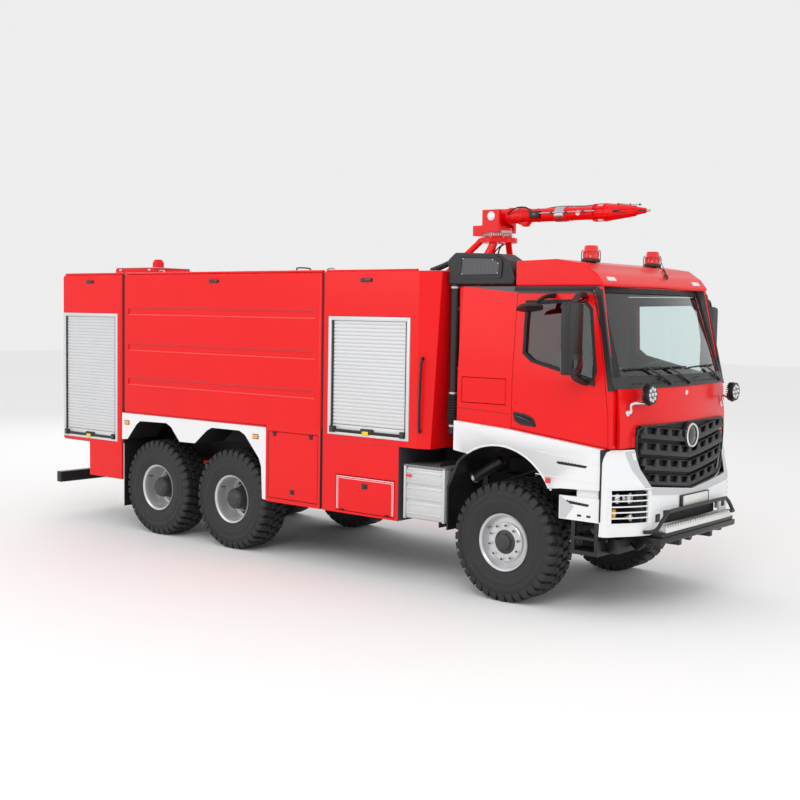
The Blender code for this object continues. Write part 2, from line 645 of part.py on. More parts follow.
def wings():
    """White wing over the front wheel, its black liner, and the entry steps ahead of it."""
    for name, side in SIDES.items():
        outline = [(CAB_REAR, CAB_SKIRT), *arch_points(ARCH_RADIUS, 123, 28, 12), (AXLE_1 + 0.64, 1.190),
                   (WING_FRONT, 1.209), (WING_FRONT, 1.588), (AXLE_1 + 0.03, 1.702), (CAB_REAR, 1.745)]
        wing = prism(f"wing_{name}", outline, "y", span(side, CAB_SIDE + 0.0005, WING_OUTER), "white")
        rear_guard = [(AXLE_1 - 0.695, 0.620), (AXLE_1 - 0.695, 1.050)]
        guard_back = [(AXLE_1 - 0.715, 1.060), (AXLE_1 - 0.715, 0.620)]
        band = (rear_guard + arch_points(ARCH_RADIUS - 0.005, 135, 26, 12)
                + arch_points(ARCH_RADIUS + 0.015, 26, 137, 12) + guard_back)
        liner = prism("liner", band, "y", span(side, LINER_INNER, CAB_SIDE + 0.03))
        step_box = box("step_box", (AXLE_1 + 0.630, WING_FRONT), span(side, 0.86, WING_OUTER - 0.005),
                       (0.905, 1.128))
        neck = box("neck", (AXLE_1 + 0.800, WING_FRONT - 0.004), span(side, 0.90, CAB_SIDE + 0.01),
                   (1.10, 1.23))
        tread = box("tread", (AXLE_1 + 0.75, AXLE_1 + 1.05), span(side, 0.94, WING_OUTER - 0.02),
                    (0.585, 0.625))
        posts = [
            box("post", (AXLE_1 + x, AXLE_1 + x + 0.03), span(side, 1.02, 1.07), (0.60, 0.95))
            for x in (0.76, 1.01)
        ]
        fuse(wing, liner, step_box, neck, tread, *posts)


def cab_floor():
    floor = box("cab_floor", (CAB_REAR + 0.005, AXLE_1 + 1.10), (-CAB_SIDE + 0.06, CAB_SIDE - 0.06),
                (CAB_FLOOR - CAB_FLOOR_THICKNESS, CAB_FLOOR), "black")
    bevel(floor, 0.005, 1)


SEAT_Y = CAB_SIDE - 0.530
SEAT_WIDTH = 0.480


def seats():
    for name, side in SIDES.items():
        y = side * SEAT_Y
        half = SEAT_WIDTH / 2
        base = box(f"seat_{name}", (AXLE_1 - 0.15, AXLE_1 + 0.33), (y - half, y + half),
                   (1.72, 1.92), "fabric")
        pedestal = box("pedestal", (AXLE_1 - 0.05, AXLE_1 + 0.25), (y - 0.16, y + 0.16),
                       (CAB_FLOOR + SEAT_GAP, 1.75))
        back = prism("back", [(AXLE_1 - 0.16, 1.85), (AXLE_1 - 0.03, 1.90), (AXLE_1 - 0.17, 2.46),
                              (AXLE_1 - 0.28, 2.45)], "y", (y - 0.23, y + 0.23))
        head = box("head", (AXLE_1 - 0.27, AXLE_1 - 0.17), (y - 0.13, y + 0.13), (2.40, 2.66))
        fuse(base, pedestal, back, head)


def dashboard():
    outline = [(AXLE_1 + 0.62, 1.75), (AXLE_1 + 0.62, 2.08), (AXLE_1 + 0.75, 2.20),
               (AXLE_1 + 1.02, 2.20), (AXLE_1 + 1.05, 1.75)]
    board = prism("dashboard", outline, "y", (-CAB_SIDE + 0.13, CAB_SIDE - 0.13), "black")
    legs = box("legs", (AXLE_1 + 0.75, AXLE_1 + 1.0), (-0.30, 0.30), (CAB_FLOOR + SEAT_GAP, 1.80))
    bevel(fuse(board, legs), 0.015, 1)


WHEEL_HUB = Vector((AXLE_1 + 0.500, SEAT_Y, 2.245))
WHEEL_TILT = math.radians(28)


def steering_wheel():
    """Rim, spokes and hub on a tilted column axis."""
    ring = bmesh.new()
    major, minor = 0.225, 0.016
    for i in range(24):
        angle = math.tau * i / 24
        for j in range(8):
            around = math.tau * j / 8
            reach = major + minor * math.cos(around)
            ring.verts.new((reach * math.cos(angle), reach * math.sin(angle), minor * math.sin(around)))
    ring.verts.ensure_lookup_table()
    for i in range(24):
        for j in range(8):
            ring.faces.new((ring.verts[i * 8 + j], ring.verts[(i + 1) % 24 * 8 + j],
                            ring.verts[(i + 1) % 24 * 8 + (j + 1) % 8], ring.verts[i * 8 + (j + 1) % 8]))
    wheel = new_object("steering_wheel", close_mesh(ring, "steering_wheel"), "black")
    hub = rod("hub", (0, 0, -0.05), (0, 0, 0.01), 0.06, 16)
    spokes = [
        box("spoke", (-major, major), (-0.018, 0.018), (-0.022, -0.004)),
        box("spoke", (-0.018, 0.018), (-major, 0.0), (-0.022, -0.004)),
    ]
    fuse(wheel, hub, *spokes)
    turn = Matrix.Rotation(-WHEEL_TILT, 4, "Y")
    wheel.data.transform(Matrix.Translation(WHEEL_HUB) @ turn)
    pivot(wheel, WHEEL_HUB)


# ---------------------------------------------------------------- front end
BUMPER_LOW = 0.780


def bumper():
    """White bumper with raised corners and headlamp pockets, and the black step bar."""
    x = AXLE_1
    plan = [(x + 1.090, 1.22), (x + 1.15, 1.22), (x + 1.40, 0.80), (x + 1.42, 0.0)]
    outline = plan + [(a, -b) for a, b in reversed(plan[:-1])]
    inner = [(x + 1.09, -1.17), (x + 1.14, -1.17), (x + 1.33, -0.80), (x + 1.345, 0.0),
             (x + 1.33, 0.80), (x + 1.14, 1.17), (x + 1.09, 1.17)]
    shell = prism("front_bumper", outline + inner, "z", (BUMPER_LOW, 1.135), "white")
    corners = []
    for side in SIDES.values():
        corner = [(x + 1.095, side * 1.22), (x + 1.15, side * 1.22), (x + 1.30, side * 0.965),
                  (x + 1.30, side * 0.885), (x + 1.24, side * 0.885), (x + 1.12, side * 1.16),
                  (x + 1.095, side * 1.16)]
        corners.append(prism("corner", corner, "z", (1.10, 1.580)))
    fuse(shell, *corners)
    step = box("front_step", (x + 1.43, x + FRONT_OVERHANG), (-0.78, 0.78), (0.72, 0.86), "black")
    brackets = [box("bracket", (x + 1.10, x + 1.46), span(side, 0.30, 0.36), (0.66, 0.76))
                for side in SIDES.values()]
    beam = box("beam", (x + 1.05, x + 1.16), (-1.0, 1.0), (0.60, 0.74))
    bevel(fuse(step, beam, *brackets), 0.006, 1)


def grille():
    """Black grille of four bars in a hexagon-like frame with a pointed lower edge."""
    x = FACE_X + 0.022
    front = [(-0.88, 1.745), (-0.88, 1.45), (-0.72, 1.215), (-0.30, 1.165), (0, 1.150),
             (0.30, 1.165), (0.72, 1.215), (0.88, 1.45), (0.88, 1.745), (0.45, 1.775), (-0.45, 1.775)]
    plate = prism("grille", front, "x", (x, x + 0.055), "black")
    bm = bmesh.new()
    bm.from_mesh(plate.data)
    for y in spread(0.72, 8):
        geometry = bm.verts[:] + bm.edges[:] + bm.faces[:]
        bmesh.ops.bisect_plane(bm, geom=geometry, plane_co=(0, y, 0), plane_no=(0, 1, 0))
    bmesh.ops.triangulate(bm, faces=bm.faces)
    for vert in bm.verts:
        vert.co.x -= FACE_BULGE * (vert.co.y / CAB_SIDE) ** 2
    bm.to_mesh(plate.data)
    bm.free()


# ---------------------------------------------------------------- body
LOWER_BOX_INNER = 0.520       # lower lockers start this far from the centre plane
SUBFRAME_HALF = 0.420
FLAP_SKIN = 0.030
FRONT_BOX_LENGTH = 1.086      # lower front locker
DROP_FLAP = {"rear": 0.205, "length": 0.830, "low": 0.670, "high": 1.060}
SHUTTER_DEPTH = 0.030


def mid_box_x():
    return (TANK_FRONT - 0.85, TANK_FRONT)


def tank_body():
    """Centre section over the tank, with the lower locker ahead of the bogie."""
    body = box("tank_body", (TANK_REAR, TANK_FRONT), (-BODY_SIDE, BODY_SIDE), (BODY_FLOOR, BODY_TOP), "red")
    bevel(body, 0.035, 2, 80)
    subframe = box("subframe", (TANK_REAR + 0.02, TANK_FRONT - 0.02), (-SUBFRAME_HALF, SUBFRAME_HALF),
                   (FRAME_TOP + SEAT_GAP, BODY_FLOOR + 0.05))
    adds, pockets = [subframe], []
    rear, front = mid_box_x()
    for side in SIDES.values():
        adds.append(box("locker", (rear, front), span(side, LOWER_BOX_INNER, BODY_SIDE),
                        (SKIRT_BOTTOM, BODY_FLOOR + 0.05)))
        pockets.append(box("pocket", (rear + 0.035, front - 0.035),
                           span(side, LOWER_BOX_INNER + 0.04, BODY_SIDE + 0.1),
                           (SKIRT_BOTTOM + 0.045, BODY_FLOOR - 0.035)))
    for z in (1.852, 2.286, 2.735):
        for side in SIDES.values():
            pockets.append(box("rib", (TANK_REAR + 0.10, TANK_FRONT - 0.10),
                               span(side, BODY_SIDE - 0.012, BODY_SIDE + 0.1), (z, z + 0.099)))
    cut(fuse(body, *adds), *pockets)


def lower_flaps():
    """Top-hinged flaps over the lower lockers ahead of the bogie."""
    rear, front = mid_box_x()
    low, high = SKIRT_BOTTOM + 0.045 + DOOR_GAP, BODY_FLOOR - 0.035 - DOOR_GAP
    for name, side in SIDES.items():
        flap = box(f"lower_flap_{name}", (rear + 0.035 + DOOR_GAP, front - 0.035 - DOOR_GAP),
                   span(side, BODY_SIDE - FLAP_SKIN, BODY_SIDE), (low, high), "red")
        pivot(flap, ((rear + front) / 2, side * (BODY_SIDE + HINGE_PROUD), high))


def front_locker():
    """Front body section with side shutters and the lower lockers behind the drop flaps."""
    body = prism("front_locker", [(FRONT_LOCKER_REAR, 1.425), (BODY_FRONT - 0.03, 1.425),
                                  (BODY_FRONT + 0.06, BODY_TOP), (FRONT_LOCKER_REAR, BODY_TOP)],
                 "y", (-BODY_SIDE, BODY_SIDE), "red")
    nose = [(BODY_FRONT - 0.17, BODY_SIDE + 0.1), (BODY_FRONT - 0.17, BODY_SIDE),
            (BODY_FRONT + 0.10, BODY_SIDE - 0.10), (BODY_FRONT + 0.10, BODY_SIDE + 0.1)]
    cutters = [prism("chamfer", [(a, side * b) for a, b in nose], "z", (1.3, 3.4))
               for side in SIDES.values()]
    rear = FRONT_LOCKER_REAR
    adds = [box("subframe", (rear + 0.02, BODY_FRONT - 0.05), (-SUBFRAME_HALF, SUBFRAME_HALF),
                (FRAME_TOP + SEAT_GAP, 1.50))]
    flap_rear = rear + DROP_FLAP["rear"]
    for side in SIDES.values():
        adds.append(box("locker", (rear, rear + FRONT_BOX_LENGTH), span(side, LOWER_BOX_INNER, BODY_SIDE),
                        (SKIRT_BOTTOM, 1.50)))
        cutters.append(box("pocket", (flap_rear, flap_rear + DROP_FLAP["length"]),
                           span(side, LOWER_BOX_INNER + 0.04, BODY_SIDE + 0.1),
                           (DROP_FLAP["low"], DROP_FLAP["high"])))
        cutters.append(box("shutter", (rear + 0.075, rear + 1.215),
                           span(side, BODY_SIDE - SHUTTER_DEPTH, BODY_SIDE + 0.1), (1.49, 2.77)))
    cut(fuse(body, *adds), *cutters)


def drop_flaps():
    """Bottom-hinged flaps that fold down as steps."""
    rear = FRONT_LOCKER_REAR + DROP_FLAP["rear"]
    front = rear + DROP_FLAP["length"]
    low, high = DROP_FLAP["low"] + DOOR_GAP, DROP_FLAP["high"] - DOOR_GAP
    for name, side in SIDES.items():
        flap = box(f"drop_flap_{name}", (rear + DOOR_GAP, front - DOOR_GAP),
                   span(side, BODY_SIDE - FLAP_SKIN, BODY_SIDE), (low, high), "red")
        pivot(flap, ((rear + front) / 2, side * (BODY_SIDE + HINGE_PROUD), low))


def rear_locker():
    """Rear body section with side and rear shutters."""
    body = box("rear_locker", (BODY_REAR, REAR_LOCKER_FRONT), (-BODY_SIDE, BODY_SIDE),
               (REAR_LOCKER_FLOOR, BODY_TOP), "red")
    bevel(body, 0.035, 2, 80)
    adds, cutters = [], []
    notch = box("notch", (BODY_REAR - 0.1, REAR_LOCKER_FRONT + 0.1),
                (-FRAME_WIDTH / 2 - 0.02, FRAME_WIDTH / 2 + 0.02),
                (0.9, FRAME_TOP + SEAT_GAP))
    cutters.append(notch)
    for side in SIDES.values():
        adds.append(box("lower_panel", (BODY_REAR + 0.595, REAR_LOCKER_FRONT),
                        span(side, LOWER_BOX_INNER, BODY_SIDE), (0.63, 1.10)))
        cutters.append(box("shutter", (BODY_REAR + 0.035, REAR_LOCKER_FRONT - 0.085),
                           span(side, BODY_SIDE - SHUTTER_DEPTH, BODY_SIDE + 0.1), (1.108, 2.75)))
    opening = ((BODY_REAR - 0.1, BODY_REAR + SHUTTER_DEPTH), (-0.62, 0.62), (1.25, 2.75))
    cutters.append(box("rear_shutter", *opening))
    cut(fuse(body, *adds), *cutters)


SKIRT_WALL = 0.025
HOUSING_INNER = 0.780


def bogie_skirts():
    """White skirt with two wheel arches, wheel housings and a mudflap behind."""
    front = mid_box_x()[0] - 0.004
    for name, side in SIDES.items():
        post = 0.053
        outline = [(TANK_REAR - 0.025, BODY_FLOOR - SEAT_GAP), (TANK_REAR - 0.025, 1.151),
                   (AXLE_3 - 0.536, 1.160), (AXLE_3 - 0.352, 1.361), (AXLE_3 - 0.282, 1.405),
                   (AXLE_3 + 0.221, 1.415), (AXLE_3 + 0.314, 1.373), (AXLE_3 + 0.474, 1.204),
                   (AXLE_2 - 0.593, 1.209), (AXLE_2 - 0.380, 1.378), (AXLE_2 - 0.293, 1.418),
                   (AXLE_2 + 0.182, 1.419), (AXLE_2 + 0.277, 1.378), (AXLE_2 + 0.513, 1.128),
                   (front - post - 0.02, 1.035), (front - post, 0.663), (front, 0.655),
                   (front, BODY_FLOOR - SEAT_GAP)]
        reach = span(side, BODY_SIDE - SKIRT_WALL, BODY_SIDE)
        skirt = prism(f"bogie_skirt_{name}", outline, "y", reach, "white")
        housing = prism("housing", outline[:13] + [(front - 0.10, 1.25), (front - 0.10, BODY_FLOOR - 0.001)],
                        "y", span(side, HOUSING_INNER, BODY_SIDE - SKIRT_WALL + 0.005))
        flap = box("mudflap", (TANK_REAR - 0.020, TANK_REAR - 0.008), span(side, 0.80, BODY_SIDE - 0.02),
                   (0.29, 1.20))
        fuse(skirt, housing, flap)


# ---------------------------------------------------------------- roof and monitor
def roof_box():
    rear, front = TANK_REAR - 0.70, TANK_REAR + 0.13
    base = box("roof_box", (rear, front), (-0.85, -0.25), (BODY_TOP + SEAT_GAP, BODY_TOP + 0.10), "red")
    bevel(base, 0.02, 1)
    dome = turned("dome", [(0, 0.0), (0.075, 0.0), (0.075, 0.09), (0.05, 0.13), (0, 0.14)],
                  (0, 0, 0), 1, 16, "black")
    dome.data.transform(Matrix.Translation(((rear + front) / 2 + 0.05, -0.5, BODY_TOP + 0.09))
                        @ Matrix.Rotation(math.radians(90), 4, "X"))
    fuse(base, dome)


HATCH_RADIUS = 0.300
HATCH_X_BACK = 1.40


def tank_hatch():
    """Round filling hatch lid on the tank's roof, hinged at its rear."""
    x = TANK_FRONT - HATCH_X_BACK
    low = BODY_TOP + MOVE_GAP
    lid = rod("tank_hatch", (x, 0, low), (x, 0, low + 0.06), HATCH_RADIUS, 28, "aluminium")
    tab = box("tab", (x - HATCH_RADIUS - 0.06, x - HATCH_RADIUS + 0.08), (-0.08, 0.08), (low, low + 0.04))
    handle = box("handle", (x + HATCH_RADIUS - 0.04, x + HATCH_RADIUS + 0.07), (-0.04, 0.04),
                 (low + 0.01, low + 0.04))
    fuse(lid, tab, handle)
    pivot(lid, (x - HATCH_RADIUS - 0.05, 0, low + 0.02))


MONITOR_X = AXLE_1 - 0.980
MONITOR_BASE_Z = 3.640
MONITOR_PIVOT_Z = 3.870
MONITOR_PIVOT_X = MONITOR_X + 0.02
BARREL_LENGTH = 1.810
BARREL_RADIUS = 0.085


def monitor():
    """Roof water cannon: frame on the body's roof, turret that turns, barrel that tips."""
    plate = rod("monitor_frame", (MONITOR_X, 0, MONITOR_BASE_Z - 0.05), (MONITOR_X, 0, MONITOR_BASE_Z),
                0.21, 24, "red")
    legs = []
    for side in SIDES.values():
        for x in (-0.30, 0.10):
            foot = (MONITOR_X + x - 0.14, side * 0.34, BODY_TOP + 0.0)
            head = (MONITOR_X + x * 0.45, side * 0.13, MONITOR_BASE_Z - 0.03)
            legs.append(rod("leg", foot, head, 0.035, 10))
    deck = box("deck", (MONITOR_X - 0.50, MONITOR_X + 0.04), (-0.42, 0.42),
               (BODY_TOP + SEAT_GAP, BODY_TOP + 0.03))
    frame = fuse(deck, *legs, plate)
    frame.name = "monitor_frame"
    own_material(frame, "red")
    cut(frame, box("under", (MONITOR_X - 1, MONITOR_X + 1), (-1, 1), (BODY_TOP - 1, BODY_TOP + SEAT_GAP)))

    low = MONITOR_BASE_Z + MOVE_GAP
    turret = rod("monitor_turret", (MONITOR_X, 0, low), (MONITOR_X, 0, low + 0.10), 0.15, 24, "red")
    forks = [
        box("fork", (MONITOR_X - 0.10, MONITOR_X + 0.12), span(side, 0.115, 0.165),
            (low + 0.05, MONITOR_PIVOT_Z + 0.07))
        for side in SIDES.values()
    ]
    motor = box("motor", (MONITOR_X - 0.27, MONITOR_X - 0.08), (-0.10, 0.10), (low + 0.02, low + 0.13))
    fuse(turret, *forks, motor)
    pivot(turret, (MONITOR_X, 0, low))

    pin_x, pin_z = MONITOR_PIVOT_X, MONITOR_PIVOT_Z
    barrel = rod("monitor_barrel", (pin_x - 0.05, 0, pin_z), (pin_x + 1.20, 0, pin_z - 0.02),
                 BARREL_RADIUS, 20, "red")
    nozzle = rod("nozzle", (pin_x + 1.15, 0, pin_z - 0.02), (pin_x + BARREL_LENGTH, 0, pin_z - 0.03),
                 0.05, 16)
    collar = rod("collar", (pin_x + 0.72, 0, pin_z - 0.012), (pin_x + 0.84, 0, pin_z - 0.014), 0.105, 20)
    boss = rod("boss", (pin_x, -0.105, pin_z), (pin_x, 0.105, pin_z), 0.095, 20)
    fuse(barrel, nozzle, collar, boss)
    pivot(barrel, (pin_x, 0, pin_z))


INTAKE_OUTER = CAB_SIDE - 0.050
INTAKE_INNER = INTAKE_OUTER - 0.300
INTAKE_LOW = 3.110
INTAKE_HIGH = 3.430
INTAKE_PIPE_X = CAB_REAR - 0.125
INTAKE_PIPE_RADIUS = 0.050


def air_intake():
    """Raised intake on the cab's right rear roof corner, with its pipe down the rear edge."""
    outline = [(CAB_REAR - 0.180, INTAKE_LOW), (AXLE_1 - 0.020, INTAKE_LOW),
               (AXLE_1 - 0.005, INTAKE_LOW + 0.06),
               (AXLE_1 - 0.080, INTAKE_HIGH - 0.09), (AXLE_1 - 0.200, INTAKE_HIGH - 0.02),
               (CAB_REAR - 0.10, INTAKE_HIGH), (CAB_REAR - 0.190, INTAKE_HIGH - 0.07)]
    head = prism("air_intake", outline, "y", (-INTAKE_OUTER, -INTAKE_INNER), "black")
    bevel(head, 0.012, 1)
    x, y = INTAKE_PIPE_X, -INTAKE_OUTER + 0.055
    pipe = rod("pipe", (x, y, 1.60), (x, y, INTAKE_LOW + 0.03), INTAKE_PIPE_RADIUS, 16)
    elbow = rod("elbow", (x, y, 1.64), (x, y + 0.45, 1.42), INTAKE_PIPE_RADIUS, 16)
    fuse(head, pipe, elbow)


def build():
    for obj in list(bpy.data.objects):
        bpy.data.objects.remove(obj)
    chassis_frame()
    front_axle()
    knuckles()
    rear_axles()
    bogie_springs()
    engine()
    underrun_bar()
    side_tanks()
    wheels()
    cab_front()
    cab_roof()
    cab_sides()
    stowage_flaps()
    doors()
    wings()
    cab_floor()
    seats()
    dashboard()
    steering_wheel()
    bumper()
    grille()
    tank_body()
    lower_flaps()
    front_locker()
    drop_flaps()
    rear_locker()
    bogie_skirts()
    roof_box()
    tank_hatch()
    monitor()
    air_intake()


build()
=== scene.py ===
import json
import math

import bmesh
import bpy
from mathutils import Matrix, Vector


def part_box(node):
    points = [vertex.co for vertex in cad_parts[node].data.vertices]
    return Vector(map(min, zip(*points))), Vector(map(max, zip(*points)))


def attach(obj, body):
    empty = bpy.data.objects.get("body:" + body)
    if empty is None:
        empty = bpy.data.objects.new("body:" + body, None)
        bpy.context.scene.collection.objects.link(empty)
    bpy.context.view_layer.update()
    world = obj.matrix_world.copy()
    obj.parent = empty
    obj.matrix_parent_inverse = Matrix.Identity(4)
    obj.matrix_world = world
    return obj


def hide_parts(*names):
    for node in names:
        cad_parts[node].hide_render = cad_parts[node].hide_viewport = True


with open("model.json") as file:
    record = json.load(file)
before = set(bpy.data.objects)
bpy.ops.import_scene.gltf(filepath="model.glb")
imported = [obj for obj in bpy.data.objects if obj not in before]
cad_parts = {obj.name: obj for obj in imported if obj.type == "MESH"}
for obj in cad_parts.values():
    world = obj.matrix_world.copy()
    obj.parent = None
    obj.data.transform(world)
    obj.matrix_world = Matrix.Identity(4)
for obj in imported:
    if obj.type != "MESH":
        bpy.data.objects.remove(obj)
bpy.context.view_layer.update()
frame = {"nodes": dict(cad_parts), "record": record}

sides = {"right": -1, "left": 1}
unit = Matrix.Identity(4)


def placed(spot, degrees, axis):
    return Matrix.Translation(spot) @ Matrix.Rotation(math.radians(degrees), 4, axis)


def addObject(name, data):
    item = bpy.data.objects.new(name, data)
    bpy.context.scene.collection.objects.link(item)
    return item


def middle(node):
    low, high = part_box(node)
    return (low + high) / 2


# axle places, read from the wheels
frontX = middle("rim_front_right").x
middleX = middle("rim_middle_right").x
rearX = middle("rim_rear_right").x
axleZ = middle("tyre_front_right").z
wheelY = middle("tyre_front_left").y
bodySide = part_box("tank_body")[1].y
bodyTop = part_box("tank_body")[1].z
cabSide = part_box("cab_side_left")[1].y
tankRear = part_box("tank_body")[0].x
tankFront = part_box("tank_body")[1].x
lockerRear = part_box("front_locker")[0].x
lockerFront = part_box("front_locker")[1].x
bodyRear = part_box("rear_locker")[0].x
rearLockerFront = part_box("rear_locker")[1].x
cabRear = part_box("cab_side_right")[0].x
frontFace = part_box("front_step")[1].x


looks = {
    # base colour, roughness, size of clouds, change of tone, size of grain, relief, then what is special
    "redPaint": ((0.8, 0.004, 0.006), 0.32, 1.3, 0.05, 260, 0.012, dict(coat=0.1, gloss=0.25)),
    # darker red: painted shade in the body strips, also a dark band on the barrel
    "redDarkAndPaintedShade": ((0.55, 0.008, 0.01), 0.38, 4, 0.08, 200, 0.02, dict(coat=0.2)),
    # lighter red: painted highlight along the pressed bands
    "redPaintedHighlight": ((0.88, 0.06, 0.05), 0.3, 4, 0.05, 200, 0.012, dict(coat=0.2)),
    "whitePaint": ((0.8, 0.81, 0.82), 0.32, 1.5, 0.03, 260, 0.012, dict(coat=0.15)),
    # grey panels, also used as a painted highlight on the grille webs
    "greyPanelAndPaintedHighlight": ((0.52, 0.53, 0.55), 0.42, 2, 0.05, 220, 0.03, dict(coat=0.1)),
    "blackPlastic": ((0.009, 0.009, 0.01), 0.42, 6, 0.25, 420, 0.1, dict()),
    "blackGloss": ((0.01, 0.01, 0.012), 0.18, 3, 0.1, 150, 0.01, dict(coat=0.5)),
    "blackMetal": ((0.011, 0.011, 0.012), 0.4, 5, 0.3, 160, 0.05, dict(metal=0.2, dust=0.1)),
    "frameGrey": ((0.014, 0.014, 0.016), 0.5, 4, 0.3, 120, 0.08, dict(dust=0.15)),
    "rubber": ((0.012, 0.012, 0.013), 0.62, 7, 0.22, 300, 0.12, dict(dust=0.08)),
    "sealRubber": ((0.006, 0.006, 0.006), 0.65, 8, 0.2, 300, 0.08, dict()),
    "rimSilver": ((0.6, 0.61, 0.62), 0.3, 5, 0.06, 180, 0.02, dict(metal=0.55)),
    "hubBlack": ((0.026, 0.027, 0.03), 0.4, 9, 0.2, 200, 0.04, dict(dust=0.2)),
    "steel": ((0.55, 0.56, 0.57), 0.3, 12, 0.1, 150, 0.03, dict(metal=1.0)),
    "chromed": ((0.8, 0.81, 0.82), 0.1, 5, 0.03, 90, 0.004, dict(metal=1.0)),
    "slatSilver": ((0.66, 0.67, 0.68), 0.38, 2.5, 0.04, 240, 0.02, dict(metal=0.3)),
    "aluminium": ((0.62, 0.63, 0.64), 0.38, 4, 0.08, 140, 0.03, dict(metal=0.55)),
    "aluminiumBright": ((0.78, 0.77, 0.74), 0.3, 4, 0.08, 140, 0.03, dict(metal=0.7)),
    "mirrorGlass": ((0.7, 0.72, 0.74), 0.03, 2, 0.02, 60, 0.002, dict(metal=1.0)),
    "plateWhite": ((0.72, 0.71, 0.68), 0.4, 9, 0.05, 200, 0.02, dict()),
    "yellow": ((0.8, 0.58, 0.02), 0.45, 9, 0.1, 200, 0.03, dict()),
    "innerGrey": ((0.1, 0.1, 0.105), 0.7, 5, 0.15, 350, 0.1, dict()),
    "lockerDark": ((0.05, 0.05, 0.055), 0.7, 5, 0.2, 150, 0.05, dict()),
    "amberLens": ((0.95, 0.38, 0.02), 0.18, 30, 0.12, 90, 0.05, dict(coat=0.5)),
    "redLens": ((0.7, 0.01, 0.012), 0.12, 30, 0.15, 90, 0.05, dict(coat=0.6)),
    "lampWhite": ((0.8, 0.82, 0.84), 0.1, 30, 0.1, 60, 0.02, dict(metal=0.5, coat=0.5)),
}
finishes = {}
roadDust = (0.2, 0.18, 0.155)


def fillInputs(tree, node, inputs):
    for socket, value in inputs.items():
        if isinstance(value, bpy.types.NodeSocket):
            tree.links.new(value, node.inputs[socket])
        else:
            node.inputs[socket].default_value = value
    return node


def addNode(tree, kind, inputs, **settings):
    node = tree.nodes.new(kind)
    for name, value in settings.items():
        setattr(node, name, value)
    return fillInputs(tree, node, inputs)


def mixColour(tree, amount, first, second):
    first, second = ((*v, 1) if isinstance(v, (tuple, list)) else v for v in (first, second))
    return addNode(tree, "ShaderNodeMix", {"Factor": amount, 6: first, 7: second},
        data_type="RGBA").outputs[2]


def makeFinish(name, colour, rough, cloud, change, grain, bump, metal=0.0, coat=0.0, gloss=0.5, dust=0.0):
    # cloudy colour and roughness, fine surface grain, and road dust near the ground
    material = bpy.data.materials.new(name)
    material.use_nodes = True
    tree = material.node_tree
    where = addNode(tree, "ShaderNodeTexCoord", {}).outputs["Object"]
    clouds = addNode(tree, "ShaderNodeTexNoise", {"Scale": cloud, "Detail": 4,
        "Vector": where}).outputs["Fac"]
    tint = mixColour(tree, clouds, [c * (1 - change) for c in colour],
        [min(1.0, c * (1 + change)) for c in colour])
    if dust:
        z = addNode(tree, "ShaderNodeSeparateXYZ", {"Vector": where}).outputs["Z"]
        height = addNode(tree, "ShaderNodeMapRange", {"Value": z, "From Min": 0.0, "From Max": 1.3,
            "To Min": dust, "To Max": 0.02})
        patches = addNode(tree, "ShaderNodeTexNoise", {"Scale": 9, "Detail": 5, "Vector": where})
        amount = addNode(tree, "ShaderNodeMath", {0: height.outputs["Result"], 1: patches.outputs["Fac"]},
            operation="MULTIPLY")
        tint = mixColour(tree, amount.outputs["Value"], tint, roadDust)
    wear = addNode(tree, "ShaderNodeMapRange", {"Value": clouds, "To Min": max(0.02, rough * 0.85),
        "To Max": min(1.0, rough * 1.15)})
    fine = addNode(tree, "ShaderNodeTexNoise", {"Scale": grain, "Detail": 2, "Vector": where})
    relief = addNode(tree, "ShaderNodeBump", {"Strength": bump * 4, "Distance": 0.002,
        "Height": fine.outputs["Fac"]})
    fillInputs(tree, tree.nodes["Principled BSDF"], {"Base Color": tint, "Metallic": metal,
        "Roughness": wear.outputs["Result"], "Normal": relief.outputs["Normal"], "Specular IOR Level": gloss,
        "Coat Weight": coat, "Coat Roughness": 0.08})
    return material


def makeGlass(name, colour):
    material = makeFinish(name, colour, 0.01, 1.2, 0.03, 20, 0.0005)
    fillInputs(material.node_tree, material.node_tree.nodes["Principled BSDF"], {"Transmission Weight": 1.0,
        "IOR": 1.45})
    return material


def makeWoven(name, colour, pitch, depth, rough=0.7, metal=0.0):
    # two crossed waves, as in cloth or a wire screen
    material = makeFinish(name, colour, rough, 5, 0.15, 200, 0.02, metal=metal)
    tree = material.node_tree
    where = addNode(tree, "ShaderNodeTexCoord", {}).outputs["Object"]
    turn = addNode(tree, "ShaderNodeMapping", {"Rotation": (0.6, 0.785, 0.785), "Vector": where})
    waves = [addNode(tree, "ShaderNodeTexWave", {"Scale": 0.314 / pitch, "Vector": turn.outputs["Vector"]},
        bands_direction=direction).outputs["Fac"] for direction in ("X", "Y")]
    cross = addNode(tree, "ShaderNodeMath", dict(enumerate(waves)), operation="MULTIPLY").outputs["Value"]
    relief = addNode(tree, "ShaderNodeBump", {"Strength": depth, "Distance": pitch * 0.3, "Height": cross})
    # the hollows of the pattern are darkened: painted shade, which on the intake screen also stands for its
    # real open mesh
    shade = mixColour(tree, cross, [c * 0.35 for c in colour], colour)
    fillInputs(tree, tree.nodes["Principled BSDF"], {"Base Color": shade, "Normal": relief.outputs["Normal"]})
    return material


for name, (*look, special) in looks.items():
    finishes[name] = makeFinish(name, *look, **special)
# the darker door glass is painted shade of the cab seen through it
for name, colour in (("windowGlass", (0.84, 0.93, 0.93)), ("doorGlassPaintedShade", (0.42, 0.48, 0.48)),
        ("lampGlass", (0.93, 0.95, 0.96))):
    finishes[name] = makeGlass(name, colour)
finishes["seatCloth"] = makeWoven("seatCloth", (0.06, 0.065, 0.075), 0.006, 0.5, 0.85)
finishes["intakeScreen"] = makeWoven("intakeScreen", (0.2, 0.2, 0.21), 0.008, 0.9, 0.55, 0.3)
finishes["chequerPlate"] = makeWoven("chequerPlate", (0.6, 0.6, 0.61), 0.024, 0.8, 0.38, 0.6)
print("finishes made:", len(finishes))


